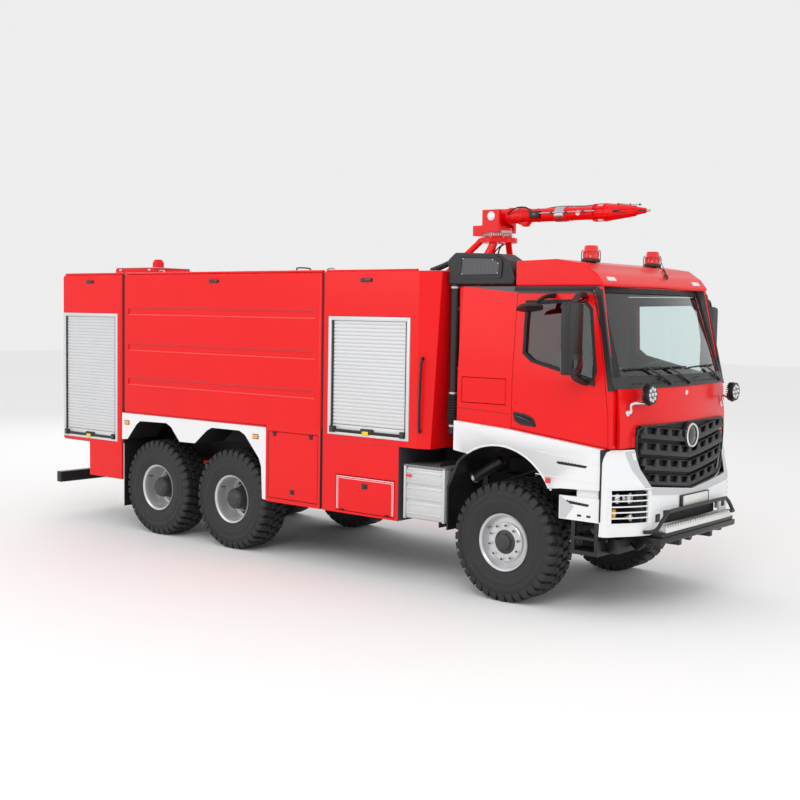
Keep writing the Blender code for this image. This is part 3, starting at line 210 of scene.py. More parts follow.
# shapes: each is a small closed bmesh that a piece takes in
def softened(shape, width, segments=2):
    if width:
        hard = [e for e in shape.edges if len(e.link_faces) == 2 and e.calc_face_angle(0) > 0.5]
        bmesh.ops.bevel(shape, geom=hard, offset=width, offset_type="OFFSET", segments=segments, profile=0.5,
            affect="EDGES", clamp_overlap=True)
    return shape


def outward(shape):
    bmesh.ops.recalc_face_normals(shape, faces=shape.faces)
    return shape


def joinRings(shape, first, second):
    for i in range(len(first)):
        j = (i + 1) % len(first)
        shape.faces.new((first[i], first[j], second[j], second[i]))


def boxShape(x, y, z, soft=0.0):
    shape = bmesh.new()
    bmesh.ops.create_cube(shape, size=1)
    for vert in shape.verts:
        for axis, reach in enumerate((x, y, z)):
            low, high = min(reach), max(reach)
            vert.co[axis] = low + (vert.co[axis] + 0.5) * (high - low)
    return softened(shape, soft)


def rodShape(start, end, radius, sides=16, endRadius=None, soft=0.0):
    shape = bmesh.new()
    start, end = Vector(start), Vector(end)
    run = end - start
    bmesh.ops.create_cone(shape, cap_ends=True, segments=sides, radius1=radius,
        radius2=radius if endRadius is None else endRadius, depth=run.length)
    if soft:
        rims = [e for e in shape.edges if e.calc_face_angle(0) > 1.0]
        bmesh.ops.bevel(shape, geom=rims, offset=soft, offset_type="OFFSET", segments=2, profile=0.5,
            affect="EDGES", clamp_overlap=True)
    turn = Vector((0, 0, 1)).rotation_difference(run).to_matrix().to_4x4()
    bmesh.ops.transform(shape, matrix=Matrix.Translation((start + end) / 2) @ turn, verts=shape.verts)
    return shape


def slabShape(outline, axis, reach, soft=0.0, segments=2):
    # an outline in the other two axes, extruded along one axis
    shape = bmesh.new()
    order = {"x": lambda a, b, c: (c, a, b), "y": lambda a, b, c: (a, c, b), "z": lambda a, b, c: (a, b,
        c)}[axis]
    rings = [[shape.verts.new(order(a, b, depth)) for a, b in outline] for depth in reach]
    shape.faces.new(rings[0])
    shape.faces.new(list(reversed(rings[1])))
    joinRings(shape, *rings)
    return softened(outward(shape), soft, segments)


def turnedShape(profile, sides=48):
    # a profile of (radius, height) turned about Z; radius 0 closes on the axis
    shape = bmesh.new()
    rings = []
    for radius, height in profile:
        if radius <= 1e-6:
            rings.append([shape.verts.new((0, 0, height))])
            continue
        angles = [math.tau * i / sides for i in range(sides)]
        rings.append([shape.verts.new((radius * math.cos(a), radius * math.sin(a), height)) for a in angles])
    pairs = list(zip(rings, rings[1:])) + ([(rings[-1],
        rings[0])] if len(rings[0]) > 1 and len(rings[-1]) > 1 else [])
    for first, second in pairs:
        for i in range(sides):
            j = (i + 1) % sides
            corners = [first[i % len(first)], first[j % len(first)], second[j % len(second)],
                second[i % len(second)]]
            corners = list(dict.fromkeys(corners))
            if len(corners) > 2:
                shape.faces.new(corners)
    return outward(shape)


def smoothPath(points, steps=6):
    points = [Vector(p) for p in points]
    path = []
    for i in range(len(points) - 1):
        a, b = points[max(i - 1, 0)], points[i]
        c, d = points[i + 1], points[min(i + 2, len(points) - 1)]
        for k in range(steps):
            t = k / steps
            curve = (2 * a - 5 * b + 4 * c - d) * t * t + (3 * b - a - 3 * c + d) * t ** 3
            path.append(0.5 * (2 * b + (c - a) * t + curve))
    return path + [points[-1]]


def tubeShape(points, radius, sides=10, steps=6, squash=1.0):
    # a round bar bent along a smooth path; steps 0 keeps the corners
    path = smoothPath(points, steps) if steps else [Vector(p) for p in points]
    shape = bmesh.new()
    rings = []
    up = None
    for i, point in enumerate(path):
        along = (path[min(i + 1, len(path) - 1)] - path[max(i - 1, 0)]).normalized()
        if up is None:
            up = along.orthogonal().normalized()
        up = (up - along * up.dot(along)).normalized()
        across = along.cross(up)
        ring = []
        for k in range(sides):
            a = math.tau * k / sides
            offset = up * math.cos(a) + across * squash * math.sin(a)
            ring.append(shape.verts.new(point + radius * offset))
        rings.append(ring)
    for first, second in zip(rings, rings[1:]):
        joinRings(shape, first, second)
    shape.faces.new(rings[0])
    shape.faces.new(list(reversed(rings[-1])))
    return outward(shape)


def skinShape(surface, columns, rows, depth, skip=None):
    # a curved sheet from a function of (column, row), given a thickness vector
    shape = bmesh.new()
    fronts = [[shape.verts.new(surface(c, r)) for c in columns] for r in rows]
    backs = [[shape.verts.new(Vector(surface(c, r)) + Vector(depth)) for c in columns] for r in rows]
    kept = set()
    for i in range(len(rows) - 1):
        for j in range(len(columns) - 1):
            if not (skip and skip(columns[j], columns[j + 1], rows[i], rows[i + 1])):
                kept.add((i, j))
    for i, j in kept:
        for grid, flip in ((fronts, False), (backs, True)):
            face = [grid[i][j], grid[i][j + 1], grid[i + 1][j + 1], grid[i + 1][j]]
            shape.faces.new(reversed(face) if flip else face)
        around = {(i - 1, j): ((i, j), (i, j + 1)), (i + 1, j): ((i + 1, j + 1), (i + 1, j)),
            (i, j - 1): ((i + 1, j), (i, j)), (i, j + 1): ((i, j + 1), (i + 1, j + 1))}
        for cell, (a, b) in around.items():
            if cell not in kept:
                shape.faces.new((fronts[a[0]][a[1]], backs[a[0]][a[1]], backs[b[0]][b[1]],
                    fronts[b[0]][b[1]]))
    bmesh.ops.delete(shape, geom=[v for v in shape.verts if not v.link_faces], context="VERTS")
    return outward(shape)


mirrorY = Matrix.Scale(-1, 4, (0, 1, 0))


class Piece:
    # gathers shapes, each with its finish, into one object that rides on a body;
    # with side -1 a shape drawn on the left is mirrored to the right
    def __init__(self, name, slot, body="truck", standsFor=(), side=1):
        self.name, self.body, self.slot, self.standsFor, self.side = name, body, slot, standsFor, side
        self.shape = bmesh.new()
        self.used = []

    def take(self, part, finish, place=unit):
        if finish not in self.used:
            self.used.append(finish)
        for face in part.faces:
            face.material_index = self.used.index(finish)
        if self.side < 0:
            place = mirrorY @ place
        bmesh.ops.transform(part, matrix=place, verts=part.verts)
        if place.determinant() < 0:
            bmesh.ops.reverse_faces(part, faces=part.faces)
        mesh = bpy.data.meshes.new("part")
        part.to_mesh(mesh)
        part.free()
        self.shape.from_mesh(mesh)
        bpy.data.meshes.remove(mesh)

    def box(self, x, y, z, finish, soft=0.0):
        self.take(boxShape(x, y, z, soft), finish)

    def rod(self, start, end, radius, finish, **more):
        self.take(rodShape(start, end, radius, **more), finish)

    def tube(self, points, radius, finish, **more):
        self.take(tubeShape(points, radius, **more), finish)

    def slab(self, outline, axis, reach, finish, soft=0.0):
        self.take(slabShape(outline, axis, reach, soft), finish)

    def turned(self, profile, around, finish, place=unit):
        self.take(turnedShape(profile, around), finish, place)

    def skin(self, surface, columns, rows, depth, finish, skip=None):
        self.take(skinShape(surface, columns, rows, depth, skip), finish)

    def row(self, source, count, step, finish):
        self.take(repeated(source, count, finish, step=step), finish)

    def ring(self, source, count, phase, finish, place=unit):
        self.take(repeatedRing(source, count, phase, finish), finish, place)

    def finish(self, sharp=35):
        mesh = bpy.data.meshes.new(self.name)
        self.shape.to_mesh(mesh)
        self.shape.free()
        for used in self.used:
            mesh.materials.append(finishes[used])
        mesh.shade_smooth()
        mesh.set_sharp_from_angle(angle=math.radians(sharp))
        piece = addObject(self.name, mesh)
        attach(piece, self.body)
        if self.standsFor:
            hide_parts(*self.standsFor)
        return piece


def span(side, inner, outer):
    return (side * inner, side * outer)


def repeatTree(name, ring):
    # a ring turns copies about Z, a row steps them along a vector
    tree = bpy.data.node_groups.new(name, "GeometryNodeTree")
    kinds = {"Geometry": "Geometry", "Source": "Object", "Count": "Int", "Finish": "Material"}
    kinds["Radius" if ring else "Step"] = "Float" if ring else "Vector"
    sockets = {label: tree.interface.new_socket(name=label, in_out="INPUT",
        socket_type="NodeSocket" + kind).identifier for label, kind in kinds.items()}
    tree.interface.new_socket(name="Geometry", in_out="OUTPUT", socket_type="NodeSocketGeometry")
    enter = tree.nodes.new("NodeGroupInput").outputs
    source = addNode(tree, "GeometryNodeObjectInfo", {"Object": enter["Source"]})
    stand = {"Instance": source.outputs["Geometry"]}
    if ring:
        points = addNode(tree, "GeometryNodeMeshCircle", {"Vertices": enter["Count"],
            "Radius": enter["Radius"]})
        place = addNode(tree, "GeometryNodeInputPosition", {})
        aim = addNode(tree, "FunctionNodeAlignRotationToVector", {"Vector": place.outputs["Position"]},
            axis="X", pivot_axis="Z")
        stand["Rotation"] = aim.outputs["Rotation"]
    else:
        points = addNode(tree, "GeometryNodeMeshLine", {"Count": enter["Count"], "Offset": enter["Step"]})
    copies = addNode(tree, "GeometryNodeInstanceOnPoints", {"Points": points.outputs["Mesh"], **stand})
    real = addNode(tree, "GeometryNodeRealizeInstances", {"Geometry": copies.outputs["Instances"]})
    paint = addNode(tree, "GeometryNodeSetMaterial", {"Geometry": real.outputs["Geometry"],
        "Material": enter["Finish"]})
    addNode(tree, "NodeGroupOutput", {"Geometry": paint.outputs["Geometry"]})
    return tree, sockets


ringTree = repeatTree("copiesRoundRing", True)
rowTree = repeatTree("copiesInRow", False)


def meshOf(item):
    return bpy.data.meshes.new_from_object(item.evaluated_get(bpy.context.evaluated_depsgraph_get()))


def repeated(source, count, finish, radius=None, step=None):
    # source is a small bmesh; the result is one bmesh of all its copies
    tree, sockets = ringTree if radius is not None else rowTree
    mesh = bpy.data.meshes.new("source")
    source.to_mesh(mesh)
    source.free()
    item, holder = addObject("source", mesh), addObject("holder", bpy.data.meshes.new("holder"))
    modifier = holder.modifiers.new("copies", "NODES")
    modifier.node_group = tree
    modifier[sockets["Source"]] = item
    modifier[sockets["Count"]] = count
    modifier[sockets["Finish"]] = finishes[finish]
    if radius is not None:
        modifier[sockets["Radius"]] = float(radius)
    else:
        modifier[sockets["Step"]] = [float(v) for v in step]
    bpy.context.view_layer.update()
    result = meshOf(holder)
    shape = bmesh.new()
    shape.from_mesh(result)
    for obj in (item, holder):
        bpy.data.objects.remove(obj)
    bpy.data.meshes.remove(result)
    return shape


def refined(node, body, slot, finish, soft=0.004, sharp=28, cuts=(), rule=None, angle=30):
    mesh = frame["nodes"][node].data.copy()
    mesh.materials.clear()
    shape = bmesh.new()
    shape.from_mesh(mesh)
    bmesh.ops.remove_doubles(shape, verts=shape.verts, dist=2e-5)
    for point, normal in cuts:
        bmesh.ops.bisect_plane(shape, geom=shape.verts[:] + shape.edges[:] + shape.faces[:], plane_co=point,
            plane_no=normal)
    used = [finish]
    for face in shape.faces:
        chosen = rule(face.calc_center_median(), face.normal) if rule else finish
        chosen = chosen or finish
        if chosen not in used:
            used.append(chosen)
        face.material_index = used.index(chosen)
    bmesh.ops.dissolve_limit(shape, angle_limit=math.radians(0.4), verts=shape.verts, edges=shape.edges,
        use_dissolve_boundaries=False, delimit={"MATERIAL"})
    shape.to_mesh(mesh)
    shape.free()
    for name in used:
        mesh.materials.append(finishes[name])
    mesh.shade_smooth()
    mesh.set_sharp_from_angle(angle=math.radians(angle))
    piece = addObject(node + "_skin", mesh)
    if soft:
        edge = piece.modifiers.new("edges", "BEVEL")
        edge.width = soft
        edge.segments = 2
        edge.limit_method = "ANGLE"
        edge.angle_limit = math.radians(sharp)
        level = piece.modifiers.new("level", "WEIGHTED_NORMAL")
        level.keep_sharp = True
        level.weight = 100
        final = meshOf(piece)
        if any(math.isnan(corner.vector.x) for corner in final.corner_normals):
            # a face too thin to weigh: its plain normals are kept
            level.show_viewport = level.show_render = False
            final = meshOf(piece)
        piece.modifiers.clear()
        piece.data = final
    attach(piece, body)
    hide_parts(node)
    return piece


tyre = dict(grooves=0.024, lugs=36, segments=72, width=0.195, bead=0.27)
rim = dict(nuts=10, nutCircle=0.168, cap=0.118)


def tyreShapes(radius):
    # carcass, side lugs and two staggered centre rows, standing on the wheel's own Z axis
    half, seat, floor = tyre["width"], tyre["bead"], radius - tyre["grooves"]
    outer = [(seat, half - 0.044), (seat + 0.01, half - 0.034), (seat + 0.035, half - 0.024),
        (seat + 0.085, half - 0.006), (seat + 0.13, half - 0.003), (seat + 0.136, half - 0.0005),
        (seat + 0.142, half - 0.003), (seat + 0.188, half - 0.003), (seat + 0.194, half),
        (seat + 0.2, half - 0.002), (seat + 0.206, half), (seat + 0.212, half - 0.003),
        (floor - 0.055, half - 0.006), (floor - 0.012, half - 0.02), (floor, half - 0.04)]
    profile = outer + [(r, -h) for r, h in reversed(outer)]
    shapes = [turnedShape(profile, tyre["segments"])]
    pitch = math.tau * radius / tyre["lugs"]
    for way in (1, -1):
        # shoulder lug: runs from the tread down over the side wall
        lug = [(floor - 0.062, half - 0.004), (floor - 0.058, half - 0.0005), (floor + 0.002, half - 0.006),
            (radius - 0.008, half - 0.02), (radius, half - 0.03), (radius - 0.001, half - 0.098),
            (floor - 0.004, half - 0.1), (floor - 0.004, half - 0.03)]
        block = slabShape([(r, way * h) for r, h in lug], "y", (-pitch * 0.33, pitch * 0.33), 0.003, 1)
        for vert in block.verts:
            inward = (half - abs(vert.co.z)) / half
            vert.co.y += (inward * 0.018 + 0.006 * math.sin(inward * 9)) * way
        shapes.append(repeatedRing(block, tyre["lugs"], 0.0))
        centre = [(radius - 0.001, way * 0.006), (radius, way * 0.04), (radius - 0.001, way * 0.084),
            (floor - 0.004, way * 0.086), (floor - 0.004, way * 0.004)]
        block = slabShape(centre, "y", (-pitch * 0.36, pitch * 0.36), 0.003, 1)
        for vert in block.verts:
            vert.co.y += 0.2 * vert.co.z * way
            if abs(vert.co.z) < 0.05:
                vert.co.y *= 0.86
        shapes.append(repeatedRing(block, tyre["lugs"], 0.5 + 0.22 * way))
        # small tie bars between shoulder lug and centre block
        tie = boxShape((floor - 0.004, radius - 0.012), (-pitch * 0.1, pitch * 0.1), span(way, 0.08, 0.102),
            0.002)
        shapes.append(repeatedRing(tie, tyre["lugs"], 0.25))
    return shapes


def repeatedRing(shape, count, phase, finish="rubber"):
    # a ring of copies of a shape that is drawn at its own distance from the axis
    ring = repeated(shape, count, finish, radius=0.0005)
    turn = Matrix.Rotation(math.tau * phase / count, 4, "Z")
    bmesh.ops.transform(ring, matrix=turn, verts=ring.verts)
    return ring


def nutShape(radius, height, stud=0.01):
    shape = bmesh.new()
    bmesh.ops.create_cone(shape, cap_ends=True, segments=6, radius1=radius, radius2=radius * 0.92,
        depth=height)
    softened(shape, radius * 0.1, 1)
    pin = bmesh.new()
    bmesh.ops.create_cone(pin, cap_ends=True, segments=10, radius1=radius * 0.5, radius2=radius * 0.45,
        depth=height + stud * 2)
    mesh = bpy.data.meshes.new("pin")
    pin.to_mesh(mesh)
    pin.free()
    shape.from_mesh(mesh)
    bpy.data.meshes.remove(mesh)
    return shape


def moved(shape, x=0, y=0, z=0):
    bmesh.ops.translate(shape, vec=(x, y, z), verts=shape.verts)
    return shape


def wheelPlace(row, side):
    axleX = middle(f"rim_{row}_{'left' if side > 0 else 'right'}").x
    return placed((axleX, side * wheelY, axleZ), -90 * side, "X")


def makeWheels():
    radius = axleZ - 0.0005
    half, seat = tyre["width"], tyre["bead"]
    inside = seat - 0.014
    bore = 0.056
    barrelOut = [(inside - 0.004, 0.1), (inside - 0.002, half - 0.06), (inside + 0.006, half - 0.034),
        (inside + 0.018, half - 0.024), (inside + 0.028, half - 0.019), (inside + 0.03, half - 0.023),
        (seat + 0.016, half - 0.033), (seat - 0.001, half - 0.046)]
    frontDisc = [(0.188, 0.106), (0.196, 0.112), (0.196, 0.13), (0.188, 0.137), (0.12, 0.137), (0.12, 0.072),
        (0.205, 0.072), (0.24, 0.09), (inside - 0.003, 0.096)]
    frontHub = [(0, half - 0.008), (0.03, half - 0.008), (0.034, half - 0.011), (0.052, half - 0.012),
        (0.07, half - 0.016), (0.08, half - 0.024), (0.083, half - 0.046), (0.104, half - 0.052),
        (rim["cap"], half - 0.06), (rim["cap"] + 0.002, 0.08), (bore, 0.08), (bore, 0.072), (0, 0.072)]
    rearDisc = [(inside - 0.003, -0.07), (0.215, -0.078), (0.165, -0.055), (0.15, -0.03), (0.148, -0.06),
        (0.15, -0.09), (0.215, -0.098), (inside - 0.003, -0.09)]
    rearHub = [(0, 0.16), (0.02, 0.16), (0.024, 0.156), (0.05, 0.155), (0.054, 0.159), (0.078, 0.156),
        (0.09, 0.142), (0.108, 0.138), (0.117, 0.126), (0.126, 0.08), (0.134, -0.03), (0.15, -0.045),
        (0.15, -0.09), (bore, -0.09), (bore, 0.072), (0, 0.072)]
    for row in ("front", "middle", "rear"):
        for name, side in sides.items():
            place = wheelPlace(row, side)
            body = f"wheel_{row}_{name}"
            piece = Piece(f"tyre_tread_{row}_{name}", "tyre", body, [f"tyre_{row}_{name}"])
            for shape in tyreShapes(radius):
                piece.take(shape, "rubber", place)
            piece.finish(40)
            piece = Piece(f"wheel_disc_{row}_{name}", "rim_silver", body, [f"rim_{row}_{name}"])
            well = [(seat - 0.001, 0.06), (seat - 0.01, 0.0), (seat - 0.001, -0.06)]
            barrel = barrelOut + well + [(r, -h) for r, h in reversed(barrelOut)] + [(inside - 0.004, 0.0)]
            piece.turned(barrel, 64, "rimSilver", place)
            if row == "front":
                piece.turned(frontDisc, 64, "rimSilver", place)
                piece.turned(frontHub, 40, "hubBlack", place)
                nut = moved(nutShape(0.017, 0.026, 0.006), rim["nutCircle"], 0, 0.147)
                piece.ring(nut, rim["nuts"], 0.3, "rimSilver", place)
                stud = moved(rodShape((0, 0, 0), (0, 0, 0.022), 0.01, 10), rim["nutCircle"], 0, 0.15)
                piece.ring(stud, rim["nuts"], 0.3, "hubBlack", place)
                screw = moved(nutShape(0.006, 0.006, 0.0), 0.094, 0, half - 0.047)
                piece.ring(screw, 6, 0.2, "hubBlack", place)
            else:
                piece.turned(rearDisc, 64, "rimSilver", place)
                piece.turned(rearHub, 40, "hubBlack", place)
                bolt = moved(nutShape(0.016, 0.022, 0.008), 0.185, 0, -0.055)
                piece.ring(bolt, rim["nuts"], 0.3, "hubBlack", place)
                piece.ring(moved(nutShape(0.007, 0.008, 0.0), 0.1, 0, 0.142), 8, 0.2, "hubBlack", place)
                # brake drum rib and inflation arm seen in the deep dish
                piece.take(boxShape((0.085, 0.235), (-0.012, 0.012), (0.02, 0.045), 0.004), "hubBlack",
                    place @ Matrix.Rotation(0.9, 4, "Z"))
            valve = rodShape((0.232, 0, 0.085), (0.24, 0, 0.15), 0.005, 8)
            piece.take(valve, "sealRubber", place @ Matrix.Rotation(2.6, 4, "Z"))
            piece.finish(30)


makeWheels()
print("wheels made")


def bodyOf(node):
    for body, nodes in frame["record"]["behaviour"]["bodies"].items():
        if node in nodes:
            return body


slots = {entry["node"]: entry["material_slot"] for entry in frame["record"]["subparts"]}


def keep(node, finish, **more):
    refined(node, bodyOf(node), slots[node], finish, **more)


def makeBody():
    depth = bodySide - 0.004

    def darkInside(point, normal):
        return "lockerDark" if abs(point.y) < depth - 0.02 and point.z < 1.5 else None

    keep("tank_body", "redPaint", soft=0.006, rule=darkInside)
    keep("front_locker", "redPaint", soft=0.006, rule=darkInside)
    keep("rear_locker", "redPaint", soft=0.006,
        rule=lambda p, n: "lockerDark" if n.z < -0.5 and p.z < 1.3 else None)
    for name in sides:
        keep(f"bogie_skirt_{name}", "whitePaint", soft=0.003,
            rule=lambda p, n: "sealRubber" if abs(p.y) < bodySide - 0.0255 else None)
        keep(f"lower_flap_{name}", "redPaint", soft=0.004)
        keep(f"drop_flap_{name}", "redPaint", soft=0.004)
        keep(f"stowage_flap_{name}", "redPaint", soft=0.004)


def makeCab():
    mudguardTop = 1.43

    def greyInside(point, normal):
        return "innerGrey" if abs(point.y) < cabSide - 0.045 and abs(normal.y) > 0.5 else None

    def blackBelow(point, normal):
        mudguard = point.z < mudguardTop and point.x < frontX - 0.45
        return "blackPlastic" if abs(point.y) < cabSide + 0.001 or point.z < 0.9 or mudguard else None

    for name in sides:
        keep(f"cab_side_{name}", "redPaint", soft=0, rule=greyInside)
        keep(f"cab_door_{name}", "redPaint", soft=0,
            rule=lambda p, n: "blackPlastic" if abs(p.y) > cabSide + 0.02 or n.y * p.y < -0.3 else None)
        keep(f"wing_{name}", "whitePaint", soft=0, cuts=[((0, 0, mudguardTop), (0, 0, 1))], rule=blackBelow)
        # the right door's glass gets a darker tint: painted shade standing for the dark cab behind it
        keep(f"door_glass_{name}", "doorGlassPaintedShade" if name == "right" else "windowGlass", soft=0)
        keep(f"knuckle_{name}", "frameGrey")
    keep("cab_back_wall", "redPaint", soft=0.008)
    keep("cab_roof", "redPaint", soft=0.01, angle=45)
    keep("cab_front", "redPaint", soft=0.006, angle=45, rule=lambda p, n: "innerGrey" if n.x < -0.3 else None)
    keep("windscreen", "windowGlass", soft=0)
    keep("cab_floor", "innerGrey")
    keep("dashboard", "innerGrey", soft=0.02)
    keep("steering_wheel", "blackPlastic", soft=0, angle=60)


def makeChassis():
    for node in ("chassis_frame", "front_axle", "rear_axle_first", "rear_axle_second", "bogie_springs",
            "engine_block"):
        keep(node, "frameGrey", soft=0.005)
    for node, finish, soft in (("underrun_bar", "blackMetal", 0.008), ("side_tank", "aluminium", 0.006),
            ("fuel_tank", "aluminium", 0.006), ("roof_box", "redPaint", 0.006), ("tank_hatch", "aluminium",
            0.004), ("monitor_frame", "redPaint", 0.003), ("monitor_turret", "redPaint", 0.004),
            ("air_intake", "blackPlastic", 0.01)):
        keep(node, finish, soft=soft)


makeBody()
makeCab()
makeChassis()
print("frame nodes finished")


shutter = dict(slat=0.04, frame=0.042, rail=0.02, recess=0.03, bar=0.085)


def makeShutter(piece, x, z):
    # frame, guides, slats, and a bottom bar with end latches and a centre latch
    face = bodySide
    back = face - shutter["recess"] + 0.001
    low, high = z
    rear, front = x
    wide = shutter["frame"]
    borders = [((rear, rear + wide), (low, high)), ((front - wide, front), (low, high)),
        ((rear + wide, front - wide), (high - wide, high)), ((rear + wide, front - wide), (low, low + 0.03))]
    for bx, bz in borders:
        piece.box(bx, (back, face + 0.008), bz, "slatSilver", 0.004)
    for edge, way in ((rear + wide, 1), (front - wide, -1)):
        piece.box((edge, edge + way * shutter["rail"]), (back, face - 0.002), (low + 0.03, high - wide),
            "blackPlastic", 0.002)
    inner = (rear + wide + shutter["rail"], front - wide - shutter["rail"])
    first = low + 0.03 + shutter["bar"]
    count = int((high - wide - first) / shutter["slat"])
    pitch = (high - wide - first) / count
    profile = [(back, 0.0), (back + 0.008, 0.0), (back + 0.013, 0.005), (back + 0.0155, pitch * 0.5),
        (back + 0.013, pitch - 0.008), (back + 0.006, pitch - 0.003), (back + 0.006, pitch), (back, pitch)]
    slat = slabShape([(y, h) for y, h in profile], "x", inner)
    moved(slat, 0, 0, first)
    piece.row(slat, count, (0, 0, pitch), "slatSilver")
    piece.box(inner, (back, back + 0.02), (low + 0.034, first - 0.004), "slatSilver", 0.003)
    piece.rod((rear + wide + 0.005, face + 0.004, low + 0.05), (front - wide - 0.005, face + 0.004,
        low + 0.05), 0.013, "blackMetal", sides=14)
    for end, way in ((rear + wide, 1), (front - wide, -1)):
        piece.box((end - 0.006, end + way * 0.07), (face - 0.012, face + 0.022), (low + 0.024, low + 0.092),
            "blackPlastic", 0.006)
        piece.box((end + way * 0.012, end + way * 0.052), (face + 0.02, face + 0.028),
            (low + 0.04, low + 0.078), "blackGloss", 0.003)
    centre = (rear + front) / 2
    piece.box((centre - 0.085, centre + 0.085), (face - 0.01, face + 0.016), (low + 0.036, low + 0.088),
        "blackPlastic", 0.006)
    piece.box((centre - 0.055, centre + 0.03), (face + 0.014, face + 0.024), (low + 0.02, low + 0.062),
        "yellow", 0.003)


def makeShutters():
    for name, side in sides.items():
        piece = Piece(f"front_shutter_{name}", "shutter_silver", side=side)
        makeShutter(piece, (lockerRear + 0.076, lockerRear + 1.214), (1.491, 2.769))
        piece.finish(30)
        piece = Piece(f"rear_shutter_{name}", "shutter_silver", side=side)
        makeShutter(piece, (bodyRear + 0.036, rearLockerFront - 0.086), (1.109, 2.749))
        piece.finish(30)
    piece = Piece("tail_shutter", "shutter_silver", side=-1)
    turn = placed((bodyRear + bodySide, 0, 0), -90, "Z")
    makeShutter(piece, (-0.619, 0.619), (1.251, 2.749))
    bmesh.ops.transform(piece.shape, matrix=turn, verts=piece.shape.verts)
    piece.finish(30)


def sideLamp(piece, x, z, length, height, finish, proud=0.014):
    piece.box((x - length / 2 - 0.006, x + length / 2 + 0.006), (bodySide - 0.004, bodySide + 0.006),
        (z - height / 2 - 0.006, z + height / 2 + 0.006), "blackPlastic", 0.002)
    piece.box((x - length / 2, x + length / 2), (bodySide - 0.002, bodySide + proud),
        (z - height / 2, z + height / 2), finish, 0.005)


def makeBodyTrim():
    for name, side in sides.items():
        piece = Piece(f"body_trim_{name}", "red_paint", side=side)
        # dark strips in the gaps between sections
        for rear, front, low in ((tankFront, lockerRear, 0.66), (rearLockerFront, tankRear, 1.1)):
            piece.box((rear + 0.001, front - 0.001), (0.45, bodySide - 0.012), (low, bodyTop - 0.006),
                "sealRubber")
        # scene lamps under the roof edge
        for x in (bodyRear + 0.602, frontX - 4.168, frontX - 1.776):
            sideLamp(piece, x, 3.153, 0.15, 0.028, "blackGloss", 0.02)
        for x in (frontX - 5.795, frontX - 3.441):
            sideLamp(piece, x, 1.371, 0.085, 0.042, "amberLens")
        # roof rail, turned over the edge
        for rear, front in ((bodyRear + 0.04, rearLockerFront - 0.01), (tankRear + 0.01, tankFront - 0.01),
                (lockerRear + 0.01, lockerFront - 0.28)):
            piece.box((rear, front), (bodySide - 0.055, bodySide - 0.02), (bodyTop - 0.002, bodyTop + 0.022),
                "redPaint", 0.006)
        # grab rail on the body's front corner
        corner = lockerFront - 0.2
        piece.tube([(corner, bodySide - 0.03, 1.62), (corner + 0.02, bodySide + 0.03, 1.66),
            (corner + 0.035, bodySide + 0.03, 2.3), (corner + 0.02, bodySide - 0.03, 2.34)], 0.014,
            "blackPlastic", steps=4)
        # painted shade along the top edge and painted highlight along the bottom edge of each pressed band in
        # the tank's side
        for z in (1.852, 2.286, 2.735):
            piece.box((tankRear + 0.101, tankFront - 0.101), (bodySide - 0.0125, bodySide - 0.001),
                (z + 0.084, z + 0.0985), "redDarkAndPaintedShade")
            piece.box((tankRear + 0.101, tankFront - 0.101), (bodySide - 0.0125, bodySide - 0.004),
                (z + 0.0005, z + 0.012), "redPaintedHighlight")
        # painted shadow line along the lower edge of the front locker and of the tank
        piece.box((lockerRear + 0.004, lockerRear + 1.08), (bodySide - 0.002, bodySide + 0.004),
            (1.425, 1.437), "redDarkAndPaintedShade", 0.0015)
        piece.box((tankRear + 0.02, tankFront - 0.86), (bodySide - 0.002, bodySide + 0.005), (1.49, 1.504),
            "redDarkAndPaintedShade", 0.0015)
        piece.finish()
        makeFlapTrim(name, side)


def roundLatch(piece, x, z, radius=0.022):
    piece.rod((x, bodySide - 0.002, z), (x, bodySide + 0.01, z), radius, "blackPlastic", sides=20, soft=0.003)
    piece.box((x - radius * 0.7, x + radius * 0.7), (bodySide + 0.009, bodySide + 0.016),
        (z - 0.005, z + 0.005), "blackGloss", 0.002)


def makeFlapTrim(name, side):
    low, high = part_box(f"lower_flap_{name}")
    hinges = Piece(f"lower_flap_trim_{name}", "black_plastic", f"lower_flap_{name}", side=side)
    for x in (low.x + 0.1, high.x - 0.1):
        hinges.rod((x - 0.026, bodySide + 0.004, high.z - 0.004), (x + 0.026, bodySide + 0.004,
            high.z - 0.004), 0.012, "blackPlastic", sides=16, soft=0.003)
        hinges.box((x - 0.024, x + 0.024), (bodySide - 0.003, bodySide + 0.006),
            (high.z - 0.05, high.z - 0.004), "blackPlastic", 0.003)
    middleX = (low.x + high.x) / 2
    hinges.box((middleX - 0.032, middleX + 0.032), (bodySide - 0.002, bodySide + 0.008), (0.76, 0.812),
        "blackPlastic", 0.006)
    roundLatch(hinges, middleX, 0.786, 0.018)
    hinges.finish()
    low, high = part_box(f"drop_flap_{name}")
    trim = Piece(f"drop_flap_trim_{name}", "white_paint", f"drop_flap_{name}", side=side)
    for edge, wide in ((0.006, 0.007), (0.025, 0.005)):
        # two white lines round the top and both sides
        trim.box((low.x + edge, high.x - edge), (bodySide - 0.001, bodySide + 0.0015),
            (high.z - edge - wide, high.z - edge), "whitePaint")
        for x, way in ((low.x + edge, 1), (high.x - edge, -1)):
            trim.box((x, x + way * wide), (bodySide - 0.001, bodySide + 0.0015),
                (low.z + 0.012, high.z - edge - wide - 0.0005), "whitePaint")
    middleX = (low.x + high.x) / 2
    trim.box((middleX - 0.038, middleX + 0.038), (bodySide - 0.002, bodySide + 0.008), (0.934, 0.99),
        "blackPlastic", 0.006)
    roundLatch(trim, middleX, 0.962, 0.019)
    for x in (low.x + 0.09, high.x - 0.09):
        trim.rod((x - 0.03, bodySide + 0.004, low.z + 0.01), (x + 0.03, bodySide + 0.004, low.z + 0.01),
            0.007, "blackMetal", sides=14, soft=0.002)
    trim.finish()


